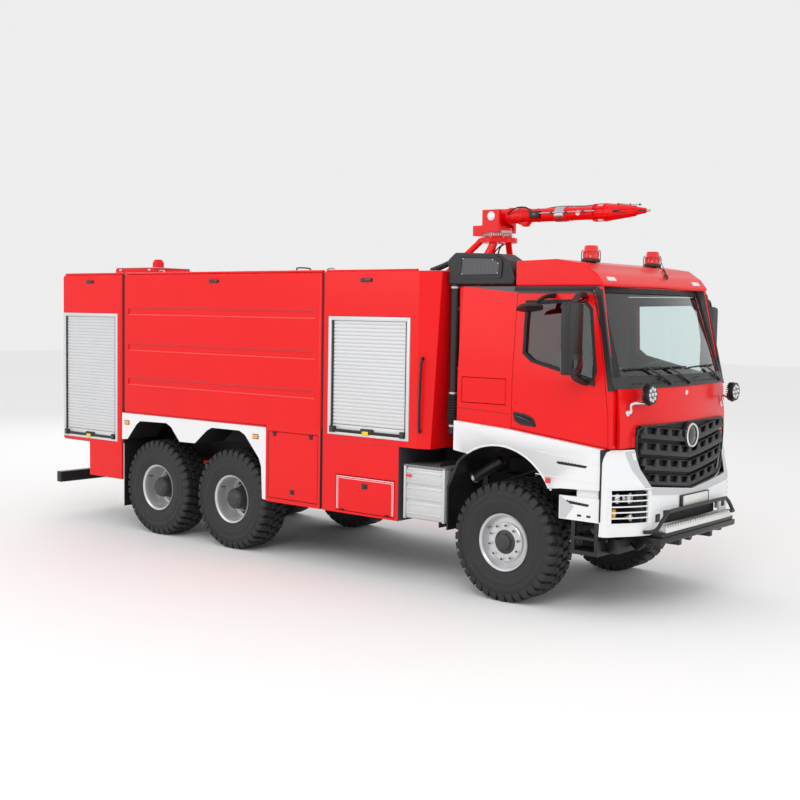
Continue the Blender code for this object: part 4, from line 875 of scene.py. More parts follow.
def makeSideTanks():
    low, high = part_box("side_tank")
    piece = Piece("side_tank_cladding", "aluminium")
    outer = low.y
    third = (high.z - low.z - 0.06) / 3
    for i in range(3):
        # three pressed panels, each with rounded ribs
        bottom = low.z + 0.03 + i * third
        piece.box((low.x + 0.02, high.x - 0.02), (outer - 0.01, outer + 0.004),
            (bottom + 0.008, bottom + third - 0.008), "aluminium", 0.006)
        rib = rodShape((low.x + 0.035, outer - 0.01, bottom + 0.034), (high.x - 0.035, outer - 0.01,
            bottom + 0.034), 0.0085, 10)
        piece.row(rib, 2, (0, 0, third - 0.068), "aluminium")
    piece.box((low.x - 0.012, high.x + 0.012), (outer - 0.02, outer + 0.62), (high.z - 0.004, high.z + 0.016),
        "chequerPlate", 0.004)
    for end in (low.x - 0.01, high.x - 0.02):
        piece.box((end, end + 0.03), (outer - 0.02, outer + 0.06), (low.z, high.z), "aluminium", 0.006)
    piece.box((low.x + 0.03, low.x + 0.085), (outer - 0.024, outer - 0.008), (high.z - 0.115, high.z - 0.085),
        "redLens", 0.004)
    piece.finish()
    low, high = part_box("fuel_tank")
    piece = Piece("fuel_tank_straps", "aluminium")
    for x in (low.x + 0.1, high.x - 0.14):
        piece.box((x, x + 0.045), (low.y + 0.02, high.y + 0.006), (high.z - 0.002, high.z + 0.005), "steel",
            0.002)
        piece.box((x, x + 0.045), (high.y - 0.002, high.y + 0.006), (low.z + 0.02, high.z + 0.004), "steel",
            0.002)
    centre = (low.x + high.x) / 2
    piece.rod((centre, high.y - 0.13, high.z - 0.003), (centre, high.y - 0.13, high.z + 0.045), 0.055,
        "blackPlastic", sides=24, soft=0.008)
    piece.box((low.x, high.x), (high.y - 0.4, high.y - 0.22), (high.z - 0.002, high.z + 0.01), "chequerPlate",
        0.003)
    piece.finish()


ladder = dict(sides=(0.7, 0.98), rungs=7, pitch=0.28, first=1.4, tube=0.017)


def makeTail():
    face = bodyRear
    piece = Piece("tail_trim", "red_paint")
    for piece.side in sides.values():
        # lamp cluster in a black housing, reflector and upper flashers
        y = 0.94
        piece.box((face - 0.045, face + 0.01), (y - 0.2, y + 0.2), (1.12, 1.27), "blackPlastic", 0.012)
        for step, lens in ((-0.13, "redLens"), (-0.02, "amberLens"), (0.09, "lampWhite")):
            centre = y + step
            piece.rod((face - 0.044, centre, 1.195), (face - 0.06, centre, 1.195), 0.046, lens, sides=28,
                soft=0.006)
        piece.box((face - 0.014, face + 0.004), (y - 0.1, y + 0.1), (1.32, 1.36), "redLens", 0.004)
        piece.box((face - 0.05, face + 0.004), (y - 0.09, y + 0.09), (3.00, 3.1), "blackPlastic", 0.01)
        piece.box((face - 0.058, face - 0.048), (y - 0.075, y + 0.075), (3.015, 3.085), "redLens", 0.008)
        rubber = face + 0.65
        piece.box((rubber - 0.03, rubber - 0.015), (0.78, 1.22), (0.66, 0.92), "rubber", 0.003)
    piece.side = 1
    piece.box((face - 0.018, face + 0.002), (-0.26, 0.26), (1.1, 1.21), "plateWhite", 0.004)
    piece.finish()
    # folding ladder on the left of the rear wall
    piece = Piece("rear_ladder", "aluminium")
    for y in ladder["sides"]:
        piece.tube([(face - 0.1, y, 1.3), (face - 0.1, y, 3.2), (face - 0.05, y, 3.3), (face + 0.1, y, 3.32),
            (face + 0.22, y, 3.25)], ladder["tube"], "aluminium", steps=5)
        for z in (1.45, 2.2, 2.95):
            piece.rod((face - 0.1, y, z), (face + 0.004, y, z), 0.011, "aluminium", sides=10)
    rung = boxShape((face - 0.115, face - 0.085), ladder["sides"], (ladder["first"], ladder["first"] + 0.022),
        0.004)
    piece.row(rung, ladder["rungs"], (0, 0, ladder["pitch"]), "aluminium")
    piece.finish()
    low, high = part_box("underrun_bar")
    piece = Piece("underrun_trim", "black_plastic")
    for piece.side in sides.values():
        piece.box((low.x + 0.0005, low.x + 0.02), (1.1, 1.19), (0.49, 0.555), "redLens", 0.004)
        piece.box((low.x + 0.02, high.x - 0.01), (1.196, 1.204), (0.46, 0.585), "blackPlastic", 0.002)
    piece.finish()


makeShutters()
makeBodyTrim()
makeSideTanks()
makeTail()
print("body trim made")


lean = dict(belt=2.2, share=0.075)
face = dict(foot=1.3, bulge=0.13, screenTop=3.05, screenLean=0.32)


def sideY(z):
    return cabSide - lean["share"] * max(0.0, z - lean["belt"])


def leaned(shape):
    for vert in shape.verts:
        vert.co.y -= lean["share"] * max(0.0, vert.co.z - lean["belt"])
    return shape


def faceX(y, z):
    back = face["screenLean"] * max(0.0, z - 2.1) / (face["screenTop"] + 0.05 - 2.1)
    ahead = 0.02 if z < 1.8 else 0.0
    return frontX + face["foot"] + ahead - back - face["bulge"] * (y / cabSide) ** 2


def offsetOutline(outline, gap):
    # a convex outline with each edge moved inwards by the gap
    points = [Vector(p) for p in outline]
    centre = sum(points, Vector((0, 0))) / len(points)
    edges = []
    for i, point in enumerate(points):
        along = (points[(i + 1) % len(points)] - point).normalized()
        normal = Vector((-along.y, along.x))
        if normal.dot(centre - point) < 0:
            normal.negate()
        edges.append((point + normal * gap, along))
    result = []
    for i, (point, along) in enumerate(edges):
        before, beforeAlong = edges[i - 1]
        cross = beforeAlong.x * along.y - beforeAlong.y * along.x
        offset = point - before
        result.append(tuple(before + beforeAlong * ((offset.x * along.y - offset.y * along.x) / cross)))
    return result


def rounded(outline, radius, steps=4):
    # an outline with each corner turned into an arc
    points = [Vector(p) for p in outline]
    result = []
    for i, point in enumerate(points):
        before = (points[i - 1] - point).normalized()
        after = (points[(i + 1) % len(points)] - point).normalized()
        start, end = point + before * radius, point + after * radius
        for k in range(steps + 1):
            t = k / steps
            result.append(tuple(start * (1 - t) ** 2 + point * 2 * t * (1 - t) + end * t * t))
    return result


def ringSlab(outer, inner, reach):
    # the band between two outlines in X and Z, extruded along Y
    shape = bmesh.new()
    loops = [[shape.verts.new((x, y, z)) for x, z in outline] for y in reach for outline in (outer, inner)]
    for a, b in ((0, 1), (1, 3), (3, 2), (2, 0)):
        joinRings(shape, loops[a], loops[b])
    return outward(shape)


windowCorners = [(0.15, 2.45), (0.246, 2.378), (0.93, 2.215), (0.955, 2.3), (0.868, 2.88), (0.79, 2.955),
    (0.15, 2.94)]


def windowOutline(gap):
    return offsetOutline([(frontX + x, z) for x, z in windowCorners], gap)


mirror = dict(out=0.25, half=0.13, back=0.808, front=0.902, glassInset=0.022)


def addKerbMirror(piece):
    x = frontX
    dish = turnedShape([(0, 0.05), (0.05, 0.046), (0.085, 0.034), (0.1, 0.018), (0.103, 0.0), (0, -0.004)],
        32)
    for vert in dish.verts:
        vert.co.x *= 1.35
        vert.co.y *= 0.95
    tilt = Matrix.Rotation(math.radians(14), 4, "X") @ Matrix.Rotation(math.radians(-8), 4, "Y")
    piece.take(dish, "blackPlastic", Matrix.Translation((x + 0.33, cabSide + 0.17, 2.872)) @ tilt)
    arm = [(x + 0.46, sideY(3.0) + 0.002, 3.000), (x + 0.42, cabSide + 0.06, 2.985),
        (x + 0.36, cabSide + 0.12, 2.918)]
    piece.tube(arm, 0.028, "blackPlastic", sides=12, steps=4, squash=0.6)


def makeDoorTrim(name, side):
    x = frontX
    piece = Piece(f"door_trim_{name}", "black_plastic", f"door_{name}", side=side)
    seal = ringSlab(windowOutline(-0.016), windowOutline(0.016), (cabSide - 0.02, cabSide + 0.004))
    piece.take(leaned(seal), "sealRubber")
    # handle: dark teardrop bowl with a grip bar
    bowl = [(0.051, 1.862), (0.068, 1.876), (0.2, 1.862), (0.29, 1.824), (0.322, 1.756), (0.312, 1.744),
        (0.15, 1.752), (0.075, 1.786)]
    bowl = [(frontX + x, z) for x, z in bowl]
    piece.slab(rounded(bowl, 0.01, 3), "y", (cabSide - 0.002, cabSide + 0.007), "blackPlastic", 0.003)
    centre = (sum(x for x, z in bowl) / len(bowl), sum(z for x, z in bowl) / len(bowl))
    inner = [(centre[0] + 0.88 * (x - centre[0]), centre[1] + 0.72 * (z - centre[1])) for x, z in bowl]
    piece.slab(inner, "y", (cabSide + 0.006, cabSide + 0.0075), "sealRubber")
    piece.tube([(x + 0.085, cabSide + 0.01, 1.836), (x + 0.14, cabSide + 0.022, 1.83),
        (x + 0.23, cabSide + 0.022, 1.806), (x + 0.285, cabSide + 0.01, 1.784)], 0.011, "blackGloss", steps=5,
        squash=0.8)
    # mirror housing with two facets, glass behind, brackets above and below
    out = cabSide + mirror["out"]
    x0, x1 = x + mirror["back"], x + mirror["front"]
    for low, high, front in ((2.475, 2.935, x1), (2.275, 2.47, x1 + 0.01)):
        inset = 0.006 if low < 2.4 else 0.0
        plan = [(x0, out - mirror["half"] + inset), (x0, out + 0.129 - inset),
            (x0 + 0.045, out + 0.128 - inset), (front - 0.012, out + 0.075), (front, out + 0.02),
            (front, out - 0.06), (front - 0.03, out - 0.128 + inset)]
        piece.slab(plan, "z", (low, high), "blackPlastic", 0.014)
        piece.box((x0 - 0.003, x0 + 0.004), (out - 0.112, out + 0.112), (low + mirror["glassInset"],
            high - mirror["glassInset"]), "mirrorGlass", 0.004)
    piece.slab([(x + 0.912, out - 0.1), (x + 0.918, out), (x + 0.912, out + 0.06), (x + 0.895, out)], "z",
        (2.33, 2.42), "blackGloss", 0.003)
    top = [(x + 0.8, sideY(2.985) + 0.004, 2.985), (x + 0.835, cabSide + 0.06, 3.01),
        (x + 0.855, out - 0.06, 2.985), (x + 0.856, out - 0.02, 2.925)]
    piece.tube(top, 0.03, "blackPlastic", sides=14, steps=5, squash=0.9)
    bottom = [(x + 0.875, sideY(2.21) - 0.004, 2.195), (x + 0.87, cabSide + 0.08, 2.205),
        (x + 0.858, out - 0.06, 2.245), (x + 0.856, out - 0.03, 2.29)]
    piece.tube(bottom, 0.028, "blackPlastic", sides=14, steps=5, squash=0.9)
    piece.slab([(x + 0.8, 2.2), (x + 0.955, 2.165), (x + 0.955, 2.225), (x + 0.8, 2.262)], "y",
        (cabSide - 0.01, cabSide + 0.016), "blackPlastic", 0.006)
    # wide kerb mirror on a short arm above the window, on the right door only
    if side < 0:
        addKerbMirror(piece)
    # inner lining: pull handle and window rail
    piece.box((x + 0.14, x + 0.96), (cabSide - 0.075, cabSide - 0.046), (2.1, 2.17), "blackPlastic", 0.012)
    piece.tube([(x + 0.55, cabSide - 0.05, 2.02), (x + 0.58, cabSide - 0.095, 2.01),
        (x + 0.78, cabSide - 0.095, 1.96), (x + 0.81, cabSide - 0.05, 1.95)], 0.012, "blackPlastic", steps=4)
    piece.finish(40)


beacon = dict(x=0.56, y=0.62, z=3.334, ribs=20)
aerial = dict(y=0.3, foot=0.03)


def makeCabTrim():
    x = frontX
    for name, side in sides.items():
        makeDoorTrim(name, side)
        piece = Piece(f"cab_side_trim_{name}", "black_plastic", side=side)
        # drip rail along the roof edge, down the front post
        rear = x + 0.0 if side < 0 else cabRear + 0.02
        rail = [(rear, 3.046), (rear, 3.088), (x + 0.9, 3.088), (x + 0.965, 3.06), (x + 1.158, 2.13),
            (x + 1.1, 2.128), (x + 0.932, 2.96), (x + 0.9, 3.03), (x + 0.86, 3.046)]
        for i in range(1, len(rail) // 2 - 1):
            quad = [rail[i + 1], rail[i + 2], rail[-(i + 2)], rail[-(i + 1)]]
            strip = slabShape(quad, "y", (cabSide - 0.02, cabSide + 0.01))
            piece.take(leaned(strip), "blackPlastic")
        strip = slabShape([(rear, 3.046), (rear, 3.088), (x + 0.9, 3.088), (x + 0.86, 3.046)], "y",
            (cabSide - 0.02, cabSide + 0.01), 0.003)
        piece.take(leaned(strip), "blackPlastic")
        groove = slabShape([(rear, 3.062), (rear, 3.068), (x + 0.9, 3.068), (x + 0.88, 3.062)], "y",
            (cabSide, cabSide + 0.0115))
        piece.take(leaned(groove), "sealRubber")
        # seam of the side panel behind the door
        seam = [(cabRear + 0.005, 1.872), (x + 0.024, 1.846), (x + 0.024, 1.85), (cabRear + 0.005, 1.876)]
        piece.slab(seam, "y", (cabSide - 0.001, cabSide + 0.0008), "sealRubber")
        piece.finish(35)
    piece = Piece("cab_roof_fittings", "black_plastic")
    for y in (-beacon["y"], beacon["y"]):
        place = Matrix.Translation((x + beacon["x"], y, beacon["z"]))
        piece.turned([(0, 0.0), (0.088, 0.0), (0.092, 0.01), (0.09, 0.026), (0.082, 0.034), (0, 0.034)], 36,
            "blackPlastic", place)
        dome = [(0, 0.034), (0.078, 0.034), (0.08, 0.044), (0.076, 0.05), (0.075, 0.1), (0.078, 0.104),
            (0.074, 0.108), (0.068, 0.152), (0.058, 0.162), (0, 0.165)]
        piece.turned(dome, 36, "redLens", place)
        ribs = moved(boxShape((-0.0015, 0.0015), (-0.003, 0.003), (0.05, 0.1)), 0.0765, 0, 0)
        piece.ring(ribs, beacon["ribs"], 0, "redLens", place)
        for a in (0.6, 3.7):
            guard = tubeShape([(0.09, 0, 0.012), (0.09, 0, 0.09), (0.08, 0, 0.12)], 0.004, 8, 3)
            piece.take(guard, "blackMetal", place @ Matrix.Rotation(a, 4, "Z"))
    # aerial, its lead and the corner marker lamps
    piece.rod((x + 0.885, aerial["y"], 3.212), (x + 0.895, aerial["y"], 3.246), aerial["foot"],
        "blackPlastic", sides=24, endRadius=0.016)
    piece.rod((x + 0.893, aerial["y"], 3.24), (x + 0.8, aerial["y"], 3.44), 0.004, "blackPlastic", sides=8,
        endRadius=0.002)
    piece.tube([(x + 0.56, 0.7, 3.35), (x + 0.66, 0.62, 3.325), (x + 0.8, 0.42, 3.29),
        (x + 0.885, 0.32, 3.225)], 0.006, "sealRubber", sides=8, steps=4)
    for piece.side in sides.values():
        lens = boxShape((-0.01, 0.012), (-0.075, 0.075), (-0.024, 0.024), 0.008)
        spot = Vector((x + 0.934, 0.87, 3.16))
        piece.take(lens, "lampWhite", placed(spot, -38, "Y"))
    piece.finish(40)
    makeScreenTrim()


def screenStrip(columns, rows, proud, depth=0.014):
    def surface(c, r):
        narrow = 1 - lean["share"] * max(0.0, r - lean["belt"]) / cabSide
        return (faceX(c, r) + proud, c * narrow, r)
    return skinShape(surface, columns, rows, (-depth, 0, 0))


def spreadValues(low, high, count):
    return [low + (high - low) * i / count for i in range(count + 1)]


inletSlots = dict(count=18, pitch=0.1, half=0.036)
wipers = dict(pivots=(-0.28, 0.1, 0.95), tips=(-0.62, -0.26, 0.58), arm=0.0095, blade=0.0075)


def makeScreenTrim():
    piece = Piece("windscreen_trim", "black_plastic")
    wide = cabSide + 0.001
    piece.take(screenStrip(spreadValues(-wide, wide, 24), [2.148, 2.16, 2.2, 2.262], 0.006), "blackPlastic")
    piece.take(screenStrip(spreadValues(-wide, wide, 24), [3.036, 3.086], 0.003), "sealRubber")
    for piece.side in sides.values():
        piece.take(screenStrip(sorted((1.028, 1.06, wide)), [2.262, 2.5, 2.8, 3.036], 0.011), "sealRubber")
    piece.side = 1
    # slots of the air inlet under the screen
    for k in range(inletSlots["count"]):
        y = (k + 0.5 - inletSlots["count"] / 2) * inletSlots["pitch"]
        x = faceX(y, 2.19)
        piece.box((x + 0.004, x + 0.009), (y - inletSlots["half"], y + inletSlots["half"]), (2.186, 2.196),
            "sealRubber")
    for y0, y1 in zip(wipers["pivots"], wipers["tips"]):
        # parked wiper: pivot, arm and blade
        pivot = Vector((faceX(y0, 2.185) + 0.012, y0, 2.185))
        piece.rod(pivot - Vector((0.012, 0, 0)), pivot + Vector((0.014, 0, 0.002)), 0.02, "blackPlastic",
            sides=18, soft=0.003)
        tip = Vector((faceX(y1, 2.335) + 0.024, y1, 2.335))
        piece.tube([pivot + Vector((0.008, 0, 0)), pivot.lerp(tip, 0.45) + Vector((0.012, 0, 0.006)), tip],
            wipers["arm"], "blackPlastic", sides=8, steps=4, squash=1.4)
        ends = (max(-0.98, y1 - 0.42), min(0.98, y1 + 0.36))
        blade = [(faceX(y, 2.325) + 0.014, y,
            2.322 + 0.012 * math.sin(3 * (y - ends[0]))) for y in spreadValues(*ends, 6)]
        piece.tube(blade, wipers["blade"], "sealRubber", sides=8, steps=2)
    for y in (-0.45, 0.3, 0.8):
        piece.box((faceX(y, 2.17) + 0.004, faceX(y, 2.17) + 0.022), (y - 0.025, y + 0.025), (2.222, 2.238),
            "blackPlastic", 0.005)
    piece.finish(40)


def makeHood():
    piece = Piece("hood_trim", "red_paint")
    # raised hood panel with a shadow line round it
    def panel(c, r):
        return (faceX(c, 1.81) + 0.01 - 0.006 * max(0.0, (r - 1.95)) , c, r)
    piece.skin(panel, spreadValues(-0.86, 0.86, 20), [1.812, 1.818, 1.95, 2.1, 2.14], (-0.02, 0, 0),
        "redPaint")
    # plain disc above the grille
    place = placed((faceX(0, 1.9) + 0.008, 0, 2.085), 90, "Y")
    piece.turned([(0, 0.006), (0.022, 0.006), (0.026, 0.002), (0.026, -0.004), (0, -0.004)], 28, "chromed",
        place)
    piece.finish(30)


bumper = dict(low=0.785, high=1.585, inner=0.8)
planPoints = [(0.0, 1.42), (0.3, 1.418), (0.62, 1.408), (0.8, 1.392), (0.9, 1.352), (1.00, 1.298),
    (1.1, 1.232), (1.19, 1.172)]


def planX(y):
    y = abs(y)
    for (y0, x0), (y1, x1) in zip(planPoints, planPoints[1:]):
        if y <= y1:
            return frontX + x0 + (x1 - x0) * (y - y0) / (y1 - y0)
    return frontX + planPoints[-1][1]


def grilleEdge(z):
    # half width that the grille leaves open at a height
    if z < 1.235:
        return bumper["inner"]
    return min(0.91, 0.8 + 0.11 * (z - 1.235) / 0.2)


def makeBumper():
    piece = Piece("bumper_skin", "white_paint", standsFor=["front_bumper"])
    for piece.side in sides.values():
        columns = [0, 0.1, 0.2, 0.35, 0.5, 0.65, 0.8, 0.96, 1.0, 1.05, 1.1, 1.2]
        rows = [bumper["low"], 0.805, 0.86, 0.905, 0.98, 1.06, 1.13, 1.225, 1.23, 1.235, 1.3, 1.4, 1.44, 1.5,
            bumper["high"]]

        def corner(t, z):
            inner = grilleEdge(z)
            lift = -0.09 * max(0.0, z - 1.2) / 0.4 - 0.02 * max(0.0, 0.86 - z) / 0.07
            if t <= 1:
                y = inner + (1.19 - inner) * t
                x = planX(y)
            else:
                along = (t - 1) / 0.2
                y = 1.19 + 0.025 * min(1, along * 2)
                x = planX(1.19) - 0.075 * along
            crease = 0.01 if 1.4 < z < 1.5 and t < 0.9 else 0.0
            return (x + (lift + crease) * (1 - 0.8 * max(0.0, t - 0.8) / 0.4), y, z)

        hole = lambda c0, c1, r0, r1: c0 >= 0.099 and c1 <= 0.961 and r0 >= 0.904 and r1 <= 1.2251
        piece.skin(corner, columns, rows, (-0.022, -0.006, 0), "whitePaint", hole)
        # grey facet between the corner and the grille
        def facet(t, z):
            x, y, level = corner(t * (0.16 + 0.2 * max(0.0, z - 1.2) / 0.385), z)
            return (x + 0.003, y, level)
        piece.skin(facet, [0, 0.5, 1.0], [1.21, 1.235, 1.3, 1.4, 1.44, 1.5, 1.57], (-0.006, 0, 0),
            "greyPanelAndPaintedHighlight")
        # lamp pocket
        piece.box((frontX + 1.05, frontX + 1.1), (0.86, 1.19), (0.9, 1.23), "blackPlastic")
        piece.slab([(frontX + 1.06, 0.87), (frontX + 1.335, 0.87), (frontX + 1.325, 0.885),
            (frontX + 1.06, 0.9)], "z", (0.9, 1.2), "blackPlastic")
        for z in (0.898, 1.224):
            piece.slab([(frontX + 1.06, 0.87), (frontX + 1.335, 0.87), (frontX + 1.165, 1.16),
                (frontX + 1.06, 1.17)], "z", (z, z + 0.006), "blackPlastic")

    piece.side = 1

    def centre(c, r):
        chin = 1.152 + 0.085 * abs(c) / 0.8
        z = bumper["low"] + r * (chin - bumper["low"])
        return (planX(c) - 0.02 * max(0.0, 0.86 - z) / 0.07 - 0.025 * max(0.0, r - 0.75), c, z)

    wide = bumper["inner"]
    columns = [-wide, -0.7, -0.605, -0.45, -0.3, -0.15, 0, 0.15, 0.3, 0.45, 0.605, 0.7, wide]
    gap = lambda c0, c1, r0, r1: c0 >= -0.606 and c1 <= 0.606 and r0 >= 0.199 and r1 <= 0.501
    piece.skin(centre, columns, [0, 0.05, 0.2, 0.35, 0.5, 0.62, 0.75, 0.9, 1.0], (-0.022, 0, 0), "whitePaint",
        gap)
    piece.box((frontX + 1.3, frontX + 1.34), (-0.62, 0.62), (0.84, 1.0), "sealRubber")

    def chinBand(c, r):
        x, y, z = centre(c, 0.84 + 0.15 * r)
        return (x + 0.003, y, z)
    piece.skin(chinBand, spreadValues(-wide, wide, 16), [0, 0.5, 1.0], (-0.006, 0, 0), "greyPanelAndPaintedHighlight")
    piece.finish(28)
    makeHeadlamps()


headlamp = dict(lamps=((0.965, 1.135, 0.052), (1.075, 1.135, 0.045), (0.955, 0.955, 0.036)), bars=7,
    lowest=0.902, pitch=0.053)


def makeHeadlamps():
    for name, side in sides.items():
        piece = Piece(f"headlamp_{name}", "lamp_glass", side=side)
        for y, z, radius in headlamp["lamps"]:
            x = planX(y) - 0.075
            place = placed((x, y, z), 90, "Y")
            bowl = [(0, -0.03), (radius * 0.5, -0.022), (radius * 0.9, 0.0), (radius, 0.012),
                (radius + 0.006, 0.012), (radius + 0.006, -0.036), (0, -0.04)]
            piece.turned(bowl, 32, "chromed", place)
            lens = [(0, 0.022), (radius * 0.6, 0.019), (radius * 0.95, 0.008), (radius * 0.95, 0.004),
                (0, 0.004)]
            piece.turned(lens, 32, "lampWhite", place)
        piece.box((planX(1.13) - 0.06, planX(1.13) - 0.03), (1.09, 1.145), (0.95, 1.04), "amberLens", 0.006)
        piece.finish(35)
        guard = Piece(f"headlamp_guard_{name}", "white_paint", side=side)
        for k in range(headlamp["bars"]):
            z = headlamp["lowest"] + headlamp["pitch"] * k

            def bar(t, r):
                y = 0.8 + (1.19 - 0.8) * min(1.0, t)
                bow, past = math.sin(math.pi * min(1, t)), max(0.0, t - 1)
                return (planX(y) + 0.003 + 0.006 * bow - 0.05 * past, y + 0.2 * past, z + r)
            guard.skin(bar, [0.02, 0.12, 0.25, 0.4, 0.55, 0.7, 0.85, 1.0, 1.12], [0.0, 0.002, 0.01, 0.012],
                (-0.013, 0, 0), "whitePaint")
        guard.finish(50)


grille = dict(top=1.768, half=0.88, rows=4, pitch=0.148, web=0.198)


def grilleHalf(z):
    return min(grille["half"], 0.735 + 0.145 * max(0.0, z - 1.225) / 0.225)


def makeGrille():
    piece = Piece("grille_bars", "black_plastic", standsFor=["grille"])
    gx = lambda y: frontX + 1.352 - face["bulge"] * (y / cabSide) ** 2

    def back(t, r):
        low = 1.16 + 0.075 * abs(t)
        z = low + r * (grille["top"] + 0.035 - 0.02 * abs(t) - low)
        y = t * grilleHalf(z)
        return (gx(y) - 0.03, y, z)
    piece.skin(back, spreadValues(-1, 1, 20), spreadValues(0, 1, 10), (-0.02, 0, 0), "sealRubber")

    # raised edge right round the grille
    half = [(-0.6, grille["top"] + 0.03), (-0.885, grille["top"] - 0.002), (-0.885, 1.46), (-0.745, 1.228),
        (-0.3, 1.17)]
    border = half + [(0, 1.15)] + [(-y, z) for y, z in reversed(half)]
    edge = [(gx(y) + 0.004, y, z) for y, z in border]
    path = smoothPath(edge + [edge[0]], 4)
    piece.tube(path, 0.01, "blackPlastic", sides=8, steps=0)
    for row in range(grille["rows"]):
        z0 = 1.625 - row * grille["pitch"]
        drop = 0.085

        def level(y):
            return z0 + drop * abs(y) / 0.8 - 0.02
        half = grilleHalf(z0 + 0.02) - 0.016
        columns = spreadValues(-half, half, 24)
        for low, high, proud in ((-0.004, 0.042, 0.026), (0.1, 0.112, 0.016)):
            def lip(c, r):
                bulge = proud * math.sin(math.pi * (0.25 + 0.6 * r))
                return (gx(c) - 0.006 + bulge, c, level(c) + low + r * (high - low))
            piece.skin(lip, columns, [0, 0.3, 0.6, 1.0], (-0.03, 0, 0), "blackPlastic")
        webs = int(half / grille["web"])
        for k in range(-webs, webs + 1):
            y = k * grille["web"]
            if row == 0 and k == 0:
                continue
            z = level(y)
            slope = [drop / 0.8 * (abs(y + dy) - abs(y)) for dy in (-0.052, 0.052)]
            web = [(y - 0.052, z + 0.036 + slope[0]), (y + 0.052, z + 0.036 + slope[1]),
                (y + 0.034, z + 0.06 + slope[1] * 0.6), (y + 0.024, z + 0.104), (y - 0.024, z + 0.104),
                (y - 0.034, z + 0.06 + slope[0] * 0.6)]
            piece.slab(web, "x", (gx(y) - 0.034, gx(y) + 0.012), "blackPlastic", 0.004)
            # painted highlight: a light grey wedge at the upper corner of each web stands for a glint
            paintedGlint = [(y + 0.036, z + 0.058 + slope[1]), (y + 0.052, z + 0.04 + slope[1]),
                (y + 0.04, z + 0.068 + slope[1]), (y + 0.03, z + 0.092)]
            piece.slab(paintedGlint, "x", (gx(y) - 0.03, gx(y) + 0.006), "greyPanelAndPaintedHighlight")
    ring = turnedShape([(0.1, 0.01), (0.106, 0.016), (0.114, 0.016), (0.12, 0.008), (0.118, -0.012),
        (0.1, -0.012)], 56)
    disc = turnedShape([(0, 0.012), (0.05, 0.01), (0.094, 0.002), (0.101, -0.004), (0.101, -0.014),
        (0, -0.014)], 56)
    place = placed((frontX + 1.378, 0, 1.67), 90, "Y")
    back = turnedShape([(0, -0.01), (0.126, -0.01), (0.126, -0.045), (0, -0.045)], 56)
    piece.take(back, "blackPlastic", place)
    piece.take(ring, "chromed", place)
    piece.take(disc, "blackGloss", place)
    piece.finish(35)
    frameBand = Piece("grille_surround", "white_paint")
    outline = [(0.935, 1.56), (0.905, 1.46), (0.765, 1.212), (0.3, 1.152), (0, 1.132)]
    pts = [Vector((gx(y) - 0.01, y, z)) for y, z in outline] + [Vector((gx(y) - 0.01, -y, z)) for y,
        z in reversed(outline[:-1])]
    frameBand.tube(pts, 0.022, "whitePaint", sides=10, steps=4)
    frameBand.finish(50)


stepBar = dict(half=0.7, teeth=27, pitch=0.0515, tube=0.019)


def makeStepBar():
    piece = Piece("front_step_bar", "black_plastic", standsFor=["front_step"])
    x = frontX
    end = frontFace - 0.0005
    piece.slab([(x + 1.36, 0.7), (end - 0.02, 0.7), (end - 0.004, 0.716), (end - 0.004, 0.762),
        (x + 1.36, 0.762)], "y", (-0.8, 0.8), "blackMetal", 0.006)
    piece.slab([(x + 1.38, 0.762), (end - 0.014, 0.762), (end - 0.01, 0.804), (x + 1.38, 0.804)], "y",
        (-0.76, 0.76), "blackMetal", 0.005)
    piece.slab([(x + 1.37, 0.804), (end, 0.804), (end, 0.838), (end - 0.012, 0.85), (x + 1.37, 0.85)], "y",
        (-stepBar["half"], stepBar["half"]), "aluminiumBright", 0.005)
    tooth = slabShape([(x + 1.38, 0.848), (end - 0.006, 0.848), (end - 0.012, 0.866), (x + 1.385, 0.866)],
        "y", (-0.69, -0.664), 0.003)
    piece.row(tooth, stepBar["teeth"], (0, stepBar["pitch"], 0), "aluminiumBright")
    piece.box((x + 1.385, end - 0.016), (-0.68, 0.68), (0.846, 0.856), "sealRubber")
    bar = [(x + 1.36, -0.88, 0.82), (x + 1.44, -0.86, 0.835), (x + 1.462, -0.8, 0.86),
        (x + 1.468, -0.72, 0.93), (x + 1.47, -0.64, 0.985), (x + 1.47, -0.56, 0.997), (x + 1.47, 0.0, 0.999)]
    bar = bar + [(a, -b, c) for a, b, c in reversed(bar[:-1])]
    piece.tube(bar, stepBar["tube"], "blackPlastic", sides=14, steps=5)
    piece.box((x + 1.05, x + 1.16), (-1.0, 1.0), (0.6, 0.74), "blackMetal", 0.006)
    for piece.side in sides.values():
        piece.box((x + 1.1, x + 1.46), (0.3, 0.36), (0.64, 0.74), "blackMetal", 0.006)
        piece.slab([(x + 1.15, 0.62), (x + 1.42, 0.66), (x + 1.42, 0.74), (x + 1.15, 0.74)], "y",
            (0.62, 0.66), "blackMetal", 0.005)
        piece.tube([(x + 1.1, 0.7, 0.7), (x + 1.25, 0.8, 0.64), (x + 1.36, 0.86, 0.7)], 0.014, "blackPlastic",
            steps=5)
    piece.side = 1
    piece.rod((x + 1.34, 0, 0.68), (x + 1.4, 0, 0.68), 0.045, "blackMetal", sides=24, soft=0.006)
    # blank plate in its holder
    piece.box((planX(0.0) - 0.02, planX(0.0) + 0.02), (-0.3, 0.3), (0.998, 1.112), "blackPlastic", 0.008)
    piece.box((planX(0.0) + 0.018, planX(0.0) + 0.026), (-0.262, 0.262), (1.008, 1.104), "plateWhite", 0.002)
    # tow eye covers
    for piece.side in sides.values():
        piece.box((planX(0.7) - 0.004, planX(0.7) + 0.006), (0.655, 0.735), (0.9, 0.975), "blackPlastic",
            0.003)
    piece.finish(35)


workLamp = dict(pods=8, podCircle=0.056, fins=24, arm=0.013)


